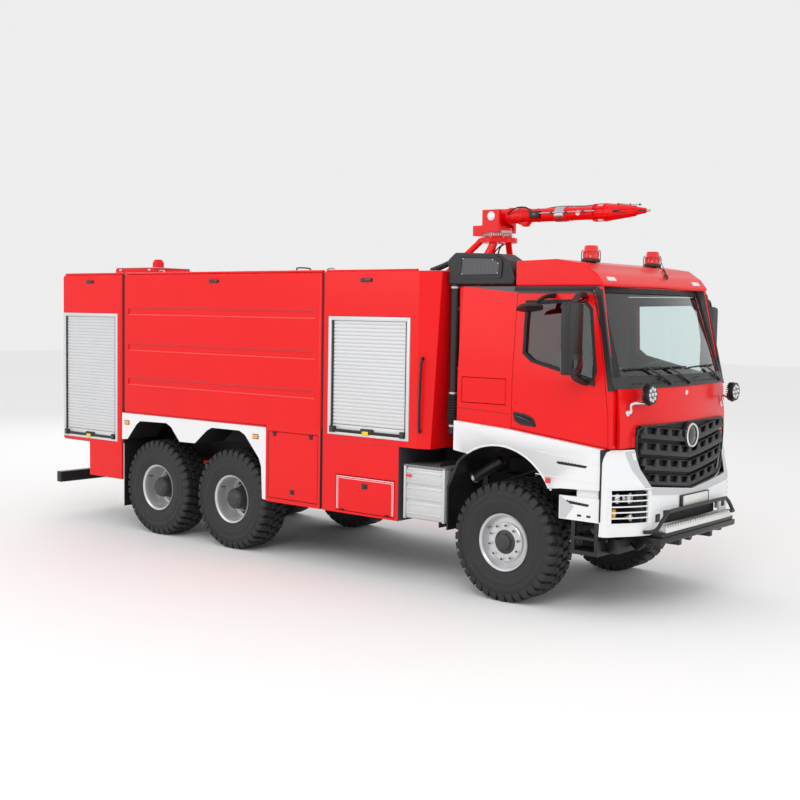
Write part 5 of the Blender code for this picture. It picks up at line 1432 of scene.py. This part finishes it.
def makeWorkLamps():
    for name, side, y, z in (("right", -1, 0.84, 2.1), ("left", 1, 0.95, 2.06)):
        piece = Piece(f"work_lamp_{name}", "black_plastic")
        x = frontX + 1.365
        place = placed((x, side * y, z), 90, "Y")
        shell = [(0, -0.05), (0.04, -0.048), (0.078, -0.03), (0.088, -0.006), (0.092, 0.01), (0.092, 0.024),
            (0.084, 0.028), (0.082, 0.018), (0, 0.018)]
        piece.turned(shell, 40, "blackPlastic", place)
        cooling = moved(boxShape((-0.016, 0.016), (-0.003, 0.003), (-0.046, 0.004), 0.001), 0.078, 0, 0)
        piece.ring(cooling, workLamp["fins"], 0, "blackPlastic", place)
        for count, radius in ((workLamp["pods"], workLamp["podCircle"]), (3, 0.0005)):
            pod = turnedShape([(0, 0.03), (0.014, 0.028), (0.019, 0.02), (0.019, 0.016), (0, 0.016)], 18)
            piece.ring(moved(pod, radius, 0, 0), count, 0.1, "lampWhite", place)
        piece.turned([(0, 0.026), (0.08, 0.026), (0.08, 0.0275), (0, 0.0275)], 40, "lampGlass", place)
        foot = Vector((faceX(0.98, 1.93) + 0.002, side * 0.985, 1.925))
        piece.rod(foot - Vector((0.02, 0, 0)), foot + Vector((0.016, 0, 0)), 0.03, "chromed", sides=20,
            soft=0.004)
        piece.tube([foot + Vector((0.01, 0, 0)), foot + Vector((0.034, side * -0.01, 0.01)),
            foot + Vector((0.036, side * -0.02, 0.085)), Vector((x - 0.03, side * (y + 0.012), z - 0.08))],
            workLamp["arm"], "chromed", sides=12, steps=4)
        piece.tube([(x - 0.02, side * (y - 0.094), z), (x - 0.015, side * (y - 0.075), z - 0.072),
            (x - 0.01, side * y, z - 0.1), (x - 0.015, side * (y + 0.075), z - 0.072),
            (x - 0.02, side * (y + 0.094), z)], 0.007, "blackMetal", sides=8, steps=4)
        piece.finish(40)


arch = dict(x=-0.09, z=0.854, radius=0.684, start=123, end=28, points=15)
entryStep = dict(levels=(0.6, 0.738), rear=0.752, front=1.048)


def makeWings():
    for name, side in sides.items():
        outer = max(abs(corner.y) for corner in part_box(f"wing_{name}"))
        piece = Piece(f"wing_trim_{name}", "white_paint", side=side)
        x = frontX
        # step recess with its slotted tread plate
        for low, first, last, level in ((1.418, 0.59, 0.93, outer), (1.06, 0.66, 0.96, outer - 0.005)):
            recess = [(x + first, low + 0.012), (x + first + 0.02, low + 0.026), (x + last, low + 0.008),
                (x + last - 0.02, low - 0.014), (x + first + 0.03, low)]
            piece.slab(recess, "y", (level - 0.001, level + 0.002), "sealRubber")
            tooth = slabShape([(x + first + 0.05, low + 0.016), (x + first + 0.064, low + 0.03),
                (x + first + 0.078, low + 0.014)], "y", (level - 0.001, level + 0.004))
            piece.row(tooth, 7, ((last - first) * 0.11, 0, -0.0024), "blackPlastic")
        # pressed creases
        for z0, z1 in ((1.52, 1.445), (1.3, 1.262)):
            piece.slab([(x + 0.36, z0), (x + 1.07, z1), (x + 1.07, z1 + 0.006), (x + 0.36, z0 + 0.008)], "y",
                (outer - 0.001, outer + 0.0035), "whitePaint", 0.001)
        piece.box((x + 0.475, x + 0.53), (outer - 0.002, outer + 0.012), (1.226, 1.276), "redLens", 0.006)
        # rolled lip round the arch
        lip = []
        for degrees in spreadValues(arch["start"], arch["end"], arch["points"] - 1):
            a = math.radians(degrees)
            lip.append((x + arch["x"] + arch["radius"] * math.cos(a), outer - 0.004,
                arch["z"] + arch["radius"] * math.sin(a)))
        piece.tube(lip, 0.011, "whitePaint", sides=8, steps=2)
        # step block: facet, slot and two slotted holes
        piece.slab([(x + 0.64, 1.12), (x + 0.79, 1.035), (x + 0.7, 0.915), (x + 0.64, 0.915)], "y",
            (outer - 0.006, outer - 0.001), "greyPanelAndPaintedHighlight")
        for hole in (0.83, 0.93):
            piece.box((x + hole, x + hole + 0.045), (outer - 0.006, outer - 0.002), (0.945, 0.965),
                "sealRubber", 0.004)
        # black seam between wing and corner panel
        seam = [(x + 1.07, 1.588), (x + 1.128, 1.588), (x + 1.094, 1.47), (x + 1.088, 0.92),
            (x + 1.074, 0.92), (x + 1.074, 1.4)]
        piece.slab(seam, "y", (1.05, outer + 0.0195), "sealRubber", 0.002)
        piece.finish(30)
        step = Piece(f"entry_step_{name}", "black_plastic", side=side)
        for z in entryStep["levels"]:
            step.box((x + entryStep["rear"], x + entryStep["front"]), (0.96, outer - 0.022),
                (z - 0.01, z + 0.014), "blackPlastic", 0.004)
            for edgeX in (x + entryStep["rear"], x + entryStep["front"] - 0.008):
                tooth = boxShape((edgeX, edgeX + 0.008), (0.965, 0.98), (z + 0.012, z + 0.024), 0.002)
                step.row(tooth, 7, (0, 0.031, 0), "blackMetal")
            tooth = boxShape((x + 0.756, x + 0.77), (outer - 0.032, outer - 0.023), (z + 0.012, z + 0.024),
                0.002)
            step.row(tooth, 11, (0.0275, 0, 0), "blackMetal")
        for post in (0.762, 1.012):
            step.box((x + post - 0.006, x + post + 0.036), (1.1, outer - 0.024), (0.585, 0.915),
                "blackPlastic", 0.006)
        step.finish(30)


makeCabTrim()
makeHood()
makeBumper()
makeGrille()
makeStepBar()
makeWorkLamps()
makeWings()
print("cab and front end made")


monitor = dict(x=frontX - 0.98, pivotX=frontX - 0.96, pivotZ=3.87, plateZ=3.64)


def boltRow(piece, start, step, count, axis, radius=0.008, finish="steel"):
    head = turnedShape([(0, 0.005), (radius * 0.8, 0.005), (radius, 0.003), (radius, -0.002), (0, -0.002)],
        10)
    turn = {"z": Matrix(), "y": Matrix.Rotation(math.radians(90), 4, "X"),
        "x": Matrix.Rotation(math.radians(90), 4, "Y"), "-y": Matrix.Rotation(math.radians(-90), 4,
        "X")}[axis]
    bmesh.ops.transform(head, matrix=Matrix.Translation(start) @ turn, verts=head.verts)
    piece.row(head, count, step, finish)


def makeIntake():
    piece = Piece("intake_screen", "black_plastic")
    y = -(cabSide - 0.05)
    # woven screen in a raised rim on the outer side, bolted at its corners
    outline = [(frontX - 0.655, 3.196), (frontX - 0.185, 3.202), (frontX - 0.175, 3.325),
        (frontX - 0.255, 3.37), (frontX - 0.64, 3.386)]
    piece.slab(rounded(outline, 0.02, 4), "y", (y - 0.004, y + 0.004), "intakeScreen")
    rimPath = [Vector((x, y - 0.003, z)) for x, z in rounded(outline, 0.02, 2)]
    piece.tube(rimPath + [rimPath[0]], 0.009, "blackPlastic", sides=8, steps=1)
    shell = rounded(offsetOutline(outline, -0.034), 0.03, 3)
    piece.take(ringSlab(shell, rounded(offsetOutline(outline, -0.004), 0.02, 3), (y - 0.01, y + 0.004)),
        "blackPlastic")
    for x, z in offsetOutline(outline, 0.018):
        boltRow(piece, (x, y - 0.004, z), (0, 0, 0.001), 1, "y", 0.007)
    # bellows and clamps on the pipe
    centre = Vector((cabRear - 0.125, -1.045, 0))
    bellows = []
    for k in range(11):
        z = 1.69 + 0.028 * k
        bellows += [(0.052, z), (0.064, z + 0.01), (0.064, z + 0.016), (0.052, z + 0.026)]
    piece.turned([(0.03, 1.685)] + bellows + [(0.03, 2.000)], 28, "sealRubber", Matrix.Translation(centre))
    for z in (1.676, 2.01, 3.08):
        piece.turned([(0.04, z - 0.01), (0.0555, z - 0.01), (0.0565, z), (0.0555, z + 0.01),
            (0.04, z + 0.01)], 32, "steel", Matrix.Translation(centre))
    for z in (2.25, 2.85):
        piece.box((cabRear - 0.145, cabRear - 0.005), (-1.06, -1.03), (z, z + 0.03), "blackMetal", 0.003)
    piece.tube([(frontX - 1.18, -0.9, 3.262), (frontX - 1.05, -0.9, 3.3), (frontX - 0.92, -0.9, 3.346)], 0.03,
        "blackPlastic", sides=16, steps=3)
    piece.finish(35)


walkway = dict(inner=0.9, outer=1.17, thick=0.005)


def makeRoof():
    piece = Piece("roof_fittings", "aluminium")
    top = bodyTop
    for piece.side in sides.values():
        # chequered walkway along each edge of the tank roof, with a low kerb rail
        piece.box((tankRear + 0.16, tankFront - 0.02), (walkway["inner"], walkway["outer"]),
            (top + 0.001, top + walkway["thick"]), "chequerPlate", 0.001)
        piece.box((lockerRear + 0.04, lockerFront - 0.04), (0.7, walkway["outer"]),
            (top + 0.001, top + walkway["thick"]), "chequerPlate", 0.001)
        for x in (tankRear + 0.25, tankFront - 0.25):
            piece.tube([(x - 0.05, 0.84, top - 0.002), (x - 0.05, 0.84, top + 0.05),
                (x + 0.05, 0.84, top + 0.05), (x + 0.05, 0.84, top - 0.002)], 0.01, "steel", steps=4)
    piece.side = 1
    low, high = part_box("roof_box")
    lid = top + 0.1
    piece.box((low.x + 0.008, high.x - 0.008), (low.y + 0.008, high.y - 0.008), (lid - 0.004, lid + 0.004),
        "greyPanelAndPaintedHighlight", 0.002)
    for x in (low.x + 0.1, high.x - 0.14):
        piece.box((x, x + 0.05), (low.y - 0.008, low.y + 0.002), (lid - 0.05, lid - 0.015), "steel", 0.003)
    piece.finish(35)
    low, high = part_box("tank_hatch")
    hatch = Piece("tank_hatch_trim", "aluminium", "tank_hatch")
    centre = Vector(((low.x + high.x) / 2, 0, high.z))
    handle = [centre + Vector((-0.1, -0.11, -0.004)), centre + Vector((-0.1, -0.11, 0.035)),
        centre + Vector((-0.1, 0.11, 0.035)), centre + Vector((-0.1, 0.11, -0.004))]
    hatch.tube(handle, 0.009, "blackPlastic", steps=4)
    hatch.turned([(0, 0.006), (0.05, 0.006), (0.055, 0.002), (0.055, -0.003), (0, -0.003)], 32, "steel",
        Matrix.Translation(centre))
    hatch.finish()


def makeMonitor():
    x, z = monitor["x"], monitor["plateZ"]
    base = Piece("monitor_base_trim", "red_paint")
    head = moved(nutShape(0.013, 0.009, 0.005), 0.185, 0, z)
    base.ring(head, 8, 0.2, "steel", Matrix.Translation((x, 0, 0)))
    # two hoses that lead from the turning base into the roof
    base.tube([(x - 0.03, 0.2, 3.6), (x - 0.16, 0.26, 3.55), (x - 0.22, 0.28, 3.35), (x - 0.3, 0.3, 3.25)],
        0.009, "sealRubber", sides=8, steps=5)
    base.tube([(x - 0.05, 0.19, 3.6), (x - 0.2, 0.22, 3.5), (x - 0.24, 0.24, 3.3), (x - 0.34, 0.26, 3.25)],
        0.007, "sealRubber", sides=8, steps=5)
    base.finish()
    piece = Piece("monitor_turret_trim", "red_paint", "monitor_turret")
    place = Matrix.Translation((x, 0, 0))
    piece.turned([(0.12, 3.69), (0.1525, 3.69), (0.154, 3.696), (0.154, 3.712), (0.1525, 3.718),
        (0.12, 3.718)], 48, "greyPanelAndPaintedHighlight", place)
    tooth = moved(boxShape((-0.003, 0.003), (-0.004, 0.004), (3.655, 3.685), 0.001), 0.1515, 0, 0)
    piece.ring(tooth, 48, 0, "steel", place)
    for side in (-1, 1):
        spot = Vector((monitor["pivotX"], side * 0.164, monitor["pivotZ"]))
        turn = placed(spot, -90 * side, "X")
        piece.turned([(0, 0.01), (0.03, 0.01), (0.034, 0.006), (0.048, 0.005), (0.05, -0.002), (0, -0.002)],
            36, "steel", turn)
        piece.ring(moved(nutShape(0.006, 0.004, 0.001), 0.04, 0, 0.004), 6, 0, "steel", turn)
    # drive motor with end cap, ribs and gear housing
    for k in range(6):
        xx = frontX - 1.235 + 0.024 * k
        piece.box((xx, xx + 0.008), (-0.072, 0.072), (3.68, 3.7), "blackMetal", 0.002)
    piece.box((frontX - 1.262, frontX - 1.244), (-0.045, 0.045), (3.705, 3.785), "blackPlastic", 0.008)
    boltRow(piece, (frontX - 1.262, -0.034, 3.715), (0, 0.068, 0), 2, "x", 0.006)
    boltRow(piece, (frontX - 1.262, -0.034, 3.775), (0, 0.068, 0), 2, "x", 0.006)
    piece.tube([(frontX - 1.24, 0.03, 3.75), (frontX - 1.28, 0.06, 3.72), (frontX - 1.22, 0.12, 3.66),
        (frontX - 1.1, 0.14, 3.655)], 0.008, "sealRubber", sides=8, steps=5)
    piece.finish(35)
    makeBarrel()


def makeBarrel():
    x = frontX
    barrel = Piece("monitor_barrel_shell", "red_paint", "monitor_barrel", ["monitor_barrel"])
    axis = monitor["pivotZ"]
    turn = placed((x, 0, axis), 90, "Y")
    body = [(0, -1.052), (0.055, -1.045), (0.078, -1.02), (0.085, -0.98), (0.085, -0.825), (0.094, -0.822),
        (0.094, -0.795), (0.078, -0.79), (0.078, -0.7), (0.092, -0.695), (0.092, -0.675), (0.082, -0.67),
        (0.076, -0.56), (0.07, -0.55), (0.07, -0.245), (0.077, -0.242), (0.077, -0.1), (0.07, -0.097),
        (0.07, 0.3), (0.082, 0.345), (0.084, 0.4), (0.07, 0.52), (0.052, 0.64), (0.026, 0.79), (0.012, 0.82),
        (0.012, 0.85), (0.006, 0.851), (0, 0.82)]
    barrel.turned(body, 48, "redPaint", turn)

    def band(a, b, inner, outer, finish, lip=0.002):
        profile = [(inner, a), (outer - lip, a), (outer, a + lip), (outer, b - lip), (outer - lip, b),
            (inner, b)]
        barrel.turned(profile, 44, finish, turn)
    for a, b, outer, finish in ((-0.225, -0.115, 0.0795, "steel"), (-0.645, -0.63, 0.084, "redDarkAndPaintedShade"),
            (-0.47, -0.455, 0.0735, "redPaint"), (-0.06, -0.05, 0.073, "redPaint"),
            (0.22, 0.232, 0.09, "redPaint"), (0.352, 0.364, 0.092, "redPaint")):
        band(a, b, 0.06, outer, finish)
    band(0.82, 0.851, 0.004, 0.0125, "steel")
    for a, radius in ((-0.8075, 0.09), (-0.685, 0.088)):
        bolt = moved(nutShape(0.005, 0.004, 0.002), radius - 0.004, 0, a + 0.012)
        barrel.ring(bolt, 12, 0, "steel", turn)
    # cross arm from which the barrel turns, and the pipe elbow below it
    barrel.rod((monitor["pivotX"], -0.104, axis), (monitor["pivotX"], 0.104, axis), 0.062, "redPaint",
        sides=32, soft=0.004)
    barrel.tube([(x - 0.96, 0, axis - 0.118), (x - 0.95, 0, axis - 0.07), (x - 0.9, 0, axis - 0.03),
        (x - 0.8, 0, axis - 0.01)], 0.062, "redPaint", sides=20, steps=5)
    barrel.slab([(x - 0.69, axis - 0.07), (x - 0.56, axis - 0.06), (x - 0.6, axis - 0.112),
        (x - 0.64, axis - 0.116)], "y", (-0.04, 0.04), "redPaint", 0.006)
    # drive box, control rod with its brackets, and the leads
    barrel.box((x - 0.52, x - 0.395), (-0.103, -0.05), (axis - 0.036, axis + 0.04), "blackPlastic", 0.008)
    barrel.box((x - 0.49, x - 0.425), (-0.1045, -0.1), (axis - 0.018, axis + 0.02), "blackGloss", 0.004)
    y, z = -0.092, axis + 0.012
    barrel.rod((x - 0.4, y, z), (x + 0.27, y, z), 0.006, "steel", sides=12)
    for spot in (-0.26, -0.08, 0.12):
        barrel.box((x + spot, x + spot + 0.022), (y - 0.008, -0.06), (z - 0.012, z + 0.012), "blackMetal",
            0.003)
    barrel.rod((x + 0.06, -0.062, axis), (x + 0.06, -0.0725, axis), 0.026, "plateWhite", sides=24)
    barrel.tube([(x - 0.8, -0.09, axis + 0.02), (x - 0.7, -0.098, axis + 0.075),
        (x - 0.58, -0.085, axis + 0.082), (x - 0.5, -0.08, axis + 0.036)], 0.008, "sealRubber", sides=8,
        steps=6)
    barrel.tube([(x - 0.4, 0.03, axis + 0.068), (x - 0.2, 0.02, axis + 0.084), (x + 0.1, 0.02, axis + 0.076),
        (x + 0.24, 0.02, axis + 0.09)], 0.005, "sealRubber", sides=8, steps=5)
    # bracket cage round the root of the nozzle
    for k in range(6):
        angle = math.radians(30 + 60 * k)
        spot = lambda radius, a: (x + a, radius * math.cos(angle), axis + radius * math.sin(angle))
        barrel.rod(spot(0.086, 0.226), spot(0.086, 0.355), 0.006, "redPaint", sides=8)
        barrel.rod(spot(0.086, 0.355), spot(0.045, 0.7), 0.007, "redPaint", sides=8)
    # dark slots between the nozzle's blades, and its linkage
    for turned in (0, 90):
        slot = [(0.47, 0.01), (0.56, 0.016), (0.805, 0.006), (0.805, -0.006), (0.56, -0.016), (0.47, -0.01)]
        blade = slabShape([(x + a, b) for a, b in slot], "y", (-0.069, 0.069))
        for vert in blade.verts:
            share = (vert.co.x - x - 0.47) / 0.335
            vert.co.y *= 1.13 - 0.78 * share
        place = placed((0, 0, axis), turned, "X")
        barrel.take(blade, "sealRubber", place)
    for a, y in ((0.5, -0.02), (0.62, 0.015), (0.74, -0.01)):
        barrel.rod((x + a, y, axis + 0.05), (x + a, y, axis + 0.086 - 0.06 * (a - 0.5)), 0.007, "blackMetal",
            sides=10)
    barrel.rod((x + 0.5, 0, axis + 0.08), (x + 0.76, 0, axis + 0.058), 0.004, "steel", sides=8)
    barrel.finish(35)


makeIntake()
makeRoof()
makeMonitor()
print("roof, intake and monitor made")


def makeUnderside():
    piece = Piece("underside_fittings", "frame_paint")
    x = frontX
    for piece.side in sides.values():
        # front shock absorber, brake chamber and spring clamps
        piece.rod((x - 0.1, 0.35, 0.7), (x - 0.16, 0.35, 1.08), 0.032, "blackMetal", sides=20)
        piece.rod((x - 0.16, 0.35, 1.02), (x - 0.18, 0.35, 1.16), 0.024, "steel", sides=16)
        for axle in (x, middleX, rearX):
            reach = 0.3 if axle == x else 0.66
            piece.rod((axle - 0.16, reach, axleZ + 0.1), (axle - 0.3, reach, axleZ + 0.14), 0.085,
                "blackMetal", sides=28, soft=0.012)
            piece.tube([(axle - 0.3, reach, axleZ + 0.16), (axle - 0.36, reach - 0.1, axleZ + 0.3),
                (axle - 0.3, reach - 0.2, axleZ + 0.46)], 0.01, "sealRubber", sides=8, steps=5)
        for dx in (-0.1, 0.1):
            clamp = [(x + dx, 0.36, 0.72), (x + dx, 0.36, 0.86), (x + dx, 0.48, 0.86), (x + dx, 0.48, 0.72)]
            piece.tube(clamp, 0.01, "steel", sides=8, steps=3)
        # flap behind the front wheel
        piece.box((x - 0.845, x - 0.835), (0.86, 1.14), (0.62, 1.3), "rubber", 0.002)
    piece.side = 1
    # canister inside the right arch
    piece.rod((x - 0.575, -0.9, 1.15), (x - 0.27, -0.84, 1.345), 0.058, "blackMetal", sides=32, soft=0.012)
    piece.rod((x - 0.59, -0.903, 1.14), (x - 0.56, -0.897, 1.16), 0.062, "steel", sides=32, soft=0.008)
    piece.rod((x - 0.42, -0.66, 1.1), (x + 0.1, -0.66, 1.28), 0.014, "blackMetal", sides=12)
    # air tanks below the front locker
    for y, z in ((0.58, 0.86), (0.58, 0.86 + 0.24)):
        tank = [(0.0, -0.34), (0.07, -0.33), (0.105, -0.29), (0.11, -0.25), (0.11, 0.25), (0.105, 0.29),
            (0.07, 0.33), (0.0, 0.34)]
        place = placed((x - 1.75, -y, z), 90, "Y")
        piece.turned(tank, 32, "blackMetal", place)
    piece.finish(40)


def padShape(x, y, z, crown, corner, channels=0, axis=2):
    # a crowned cushion: superellipse outline, swelling faces and sewn channels
    shape = bmesh.new()
    size = [(b - a) / 2 for a, b in (x, y, z)]
    centre = Vector([(a + b) / 2 for a, b in (x, y, z)])
    bmesh.ops.create_cube(shape, size=2.0)
    bmesh.ops.subdivide_edges(shape, edges=shape.edges, cuts=23, use_grid_fill=True)
    power = corner
    others = [i for i in range(3) if i != axis]
    for vert in shape.verts:
        p = vert.co.copy()
        length = sum(abs(c) ** power for c in p) ** (1 / power)
        p = p / length
        spread = max(abs(p[others[0]]), abs(p[others[1]]))
        p[axis] *= 1 - crown * spread ** 2
        if channels:
            across = p[others[0]] * channels * math.pi
            p[axis] *= 1 - 0.07 * max(0.0, math.cos(across)) ** 12 * (1 if abs(p[axis]) > 0.3 else 0)
        vert.co = centre + Vector([p[i] * size[i] for i in range(3)])
    return outward(shape)


def tilted(shape, pivot, degrees):
    turn = placed(pivot, degrees, "Y") @ Matrix.Translation(-Vector(pivot))
    bmesh.ops.transform(shape, matrix=turn, verts=shape.verts)
    return shape


seat = dict(crown=0.16, backCrown=0.22, corner=6, recline=-13, fill=0.8)


def makeInside():
    for name, side in sides.items():
        low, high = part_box(f"seat_{name}")
        y = (low.y + high.y) / 2
        x = frontX
        cushion = Piece(f"seat_cushion_{name}", "seat_fabric", standsFor=[f"seat_{name}"])
        half = (high.y - low.y) / 2 - 0.003
        cushion.take(padShape((x - 0.14, x + 0.328), (y - half, y + half), (1.755, 1.918), seat["crown"],
            seat["corner"], 3), "seatCloth")
        back = padShape((x - 0.15, x - 0.035), (y - half + 0.01, y + half - 0.01), (1.87, 2.44),
            seat["backCrown"], seat["corner"], 2, axis=0)
        cushion.take(tilted(back, (x - 0.09, 0, 1.88), seat["recline"]), "seatCloth")
        cushion.finish(60)
        frameOf = Piece(f"seat_frame_{name}", "black_plastic")
        frameOf.box((x - 0.05, x + 0.25), (y - 0.16, y + 0.16), (low.z, 1.762), "blackPlastic", 0.012)
        frameOf.box((x + 0.02, x + 0.1), span(side, abs(y) + 0.2, abs(y) + 0.232), (1.78, 1.84),
            "blackPlastic", 0.01)
        frameOf.finish()
    piece = Piece("dashboard_trim", "black_plastic")
    low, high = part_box("dashboard")
    y = 0.62
    x = frontX
    piece.box((low.x - 0.012, low.x + 0.01), (y - 0.2, y + 0.2), (high.z - 0.12, high.z - 0.02), "blackGloss",
        0.008)
    for dy in (-0.1, 0.1):
        place = placed((low.x - 0.014, y + dy, high.z - 0.07), -90, "Y")
        piece.turned([(0.036, 0.0), (0.042, 0.0), (0.042, 0.006), (0.036, 0.006)], 32, "chromed", place)
        piece.turned([(0, 0.001), (0.036, 0.001), (0.036, 0.002), (0, 0.002)], 32, "plateWhite", place)
    for k in range(5):
        piece.box((low.x - 0.008, low.x + 0.004), (0.05 + 0.055 * k, 0.09 + 0.055 * k),
            (high.z - 0.1, high.z - 0.075), "blackGloss", 0.004)
    piece.box((low.x - 0.006, low.x + 0.004), (-0.75, -0.35), (high.z - 0.16, high.z - 0.05), "innerGrey",
        0.01)
    piece.rod((x + 0.53, y, 2.215), (x + 0.66, y, 2.05), 0.035, "blackPlastic", sides=24)
    piece.box((x + 0.63, x + 0.78), (-0.56, -0.3), (high.z - 0.004, high.z + 0.12), "blackPlastic", 0.012)
    piece.box((x + 0.55, x + 0.57), (y + 0.02, y + 0.09), (1.68, 1.75), "blackMetal", 0.004)
    piece.finish(40)


makeUnderside()
makeInside()
print("underside and inside made")


view = dict(place=(9.721, -11.007, 2.809), azimuth=39.612, down=4.037, roll=0.932, lens=55.17, sensor=36)
studio = dict(floor=60.0, world=0.85)


def makeCamera():
    azimuth, down, roll = (math.radians(view[k]) for k in ("azimuth", "down", "roll"))
    ahead = Vector((-math.sin(azimuth) * math.cos(down), math.cos(azimuth) * math.cos(down), -math.sin(down)))
    right = Vector((math.cos(azimuth), math.sin(azimuth), 0))
    up = right.cross(ahead)
    across = right * math.cos(roll) + up * math.sin(roll)
    top = up * math.cos(roll) - right * math.sin(roll)
    data = bpy.data.cameras.new("camera")
    data.lens, data.sensor_width = view["lens"], view["sensor"]
    data.clip_end = 200
    camera = addObject("camera", data)
    turn = Matrix((across, top, -ahead)).transposed().to_4x4()
    camera.matrix_world = Matrix.Translation(view["place"]) @ turn
    bpy.context.scene.camera = camera


def makeStudio():
    floor = bpy.data.meshes.new("floor")
    reach = studio["floor"]
    floor.from_pydata([(-reach, -reach, 0), (reach, -reach, 0), (reach, reach, 0), (-reach, reach, 0)], [],
        [(0, 1, 2, 3)])
    ground = addObject("floor", floor)
    pale = bpy.data.materials.new("paleFloor")
    pale.use_nodes = True
    pale.node_tree.nodes["Principled BSDF"].inputs["Base Color"].default_value = (0.93, 0.93, 0.93, 1)
    pale.node_tree.nodes["Principled BSDF"].inputs["Roughness"].default_value = 0.9
    floor.materials.append(pale)
    world = bpy.data.worlds.new("studioWorld")
    world.use_nodes = True
    world.node_tree.nodes["Background"].inputs["Color"].default_value = (1.0, 1.0, 1.0, 1)
    world.node_tree.nodes["Background"].inputs["Strength"].default_value = studio["world"]
    bpy.context.scene.world = world
    lamps = {
        # place, size, power, aimed at
        "keyLight": ((9.0, -12.0, 11.0), 7.0, 620, (0.5, 0, 1.5)),
        "sideLight": ((-6.0, -13.0, 7.0), 8.0, 300, (-1.0, 0, 1.5)),
        "frontLight": ((15.0, 3.0, 6.0), 6.0, 150, (3.5, 0, 1.8)),
        "backLight": ((-12.0, 8.0, 9.0), 7.0, 260, (-2.0, 0, 2.0)),
    }
    for name, (place, size, power, aim) in lamps.items():
        data = bpy.data.lights.new(name, "AREA")
        data.size, data.energy = size, power
        lamp = addObject(name, data)
        lamp.location = place
        lamp.rotation_euler = (Vector(aim) - Vector(place)).to_track_quat("-Z", "Y").to_euler()
    bpy.context.scene.view_settings.view_transform = "Standard"


makeCamera()
makeStudio()
print("camera and studio made")
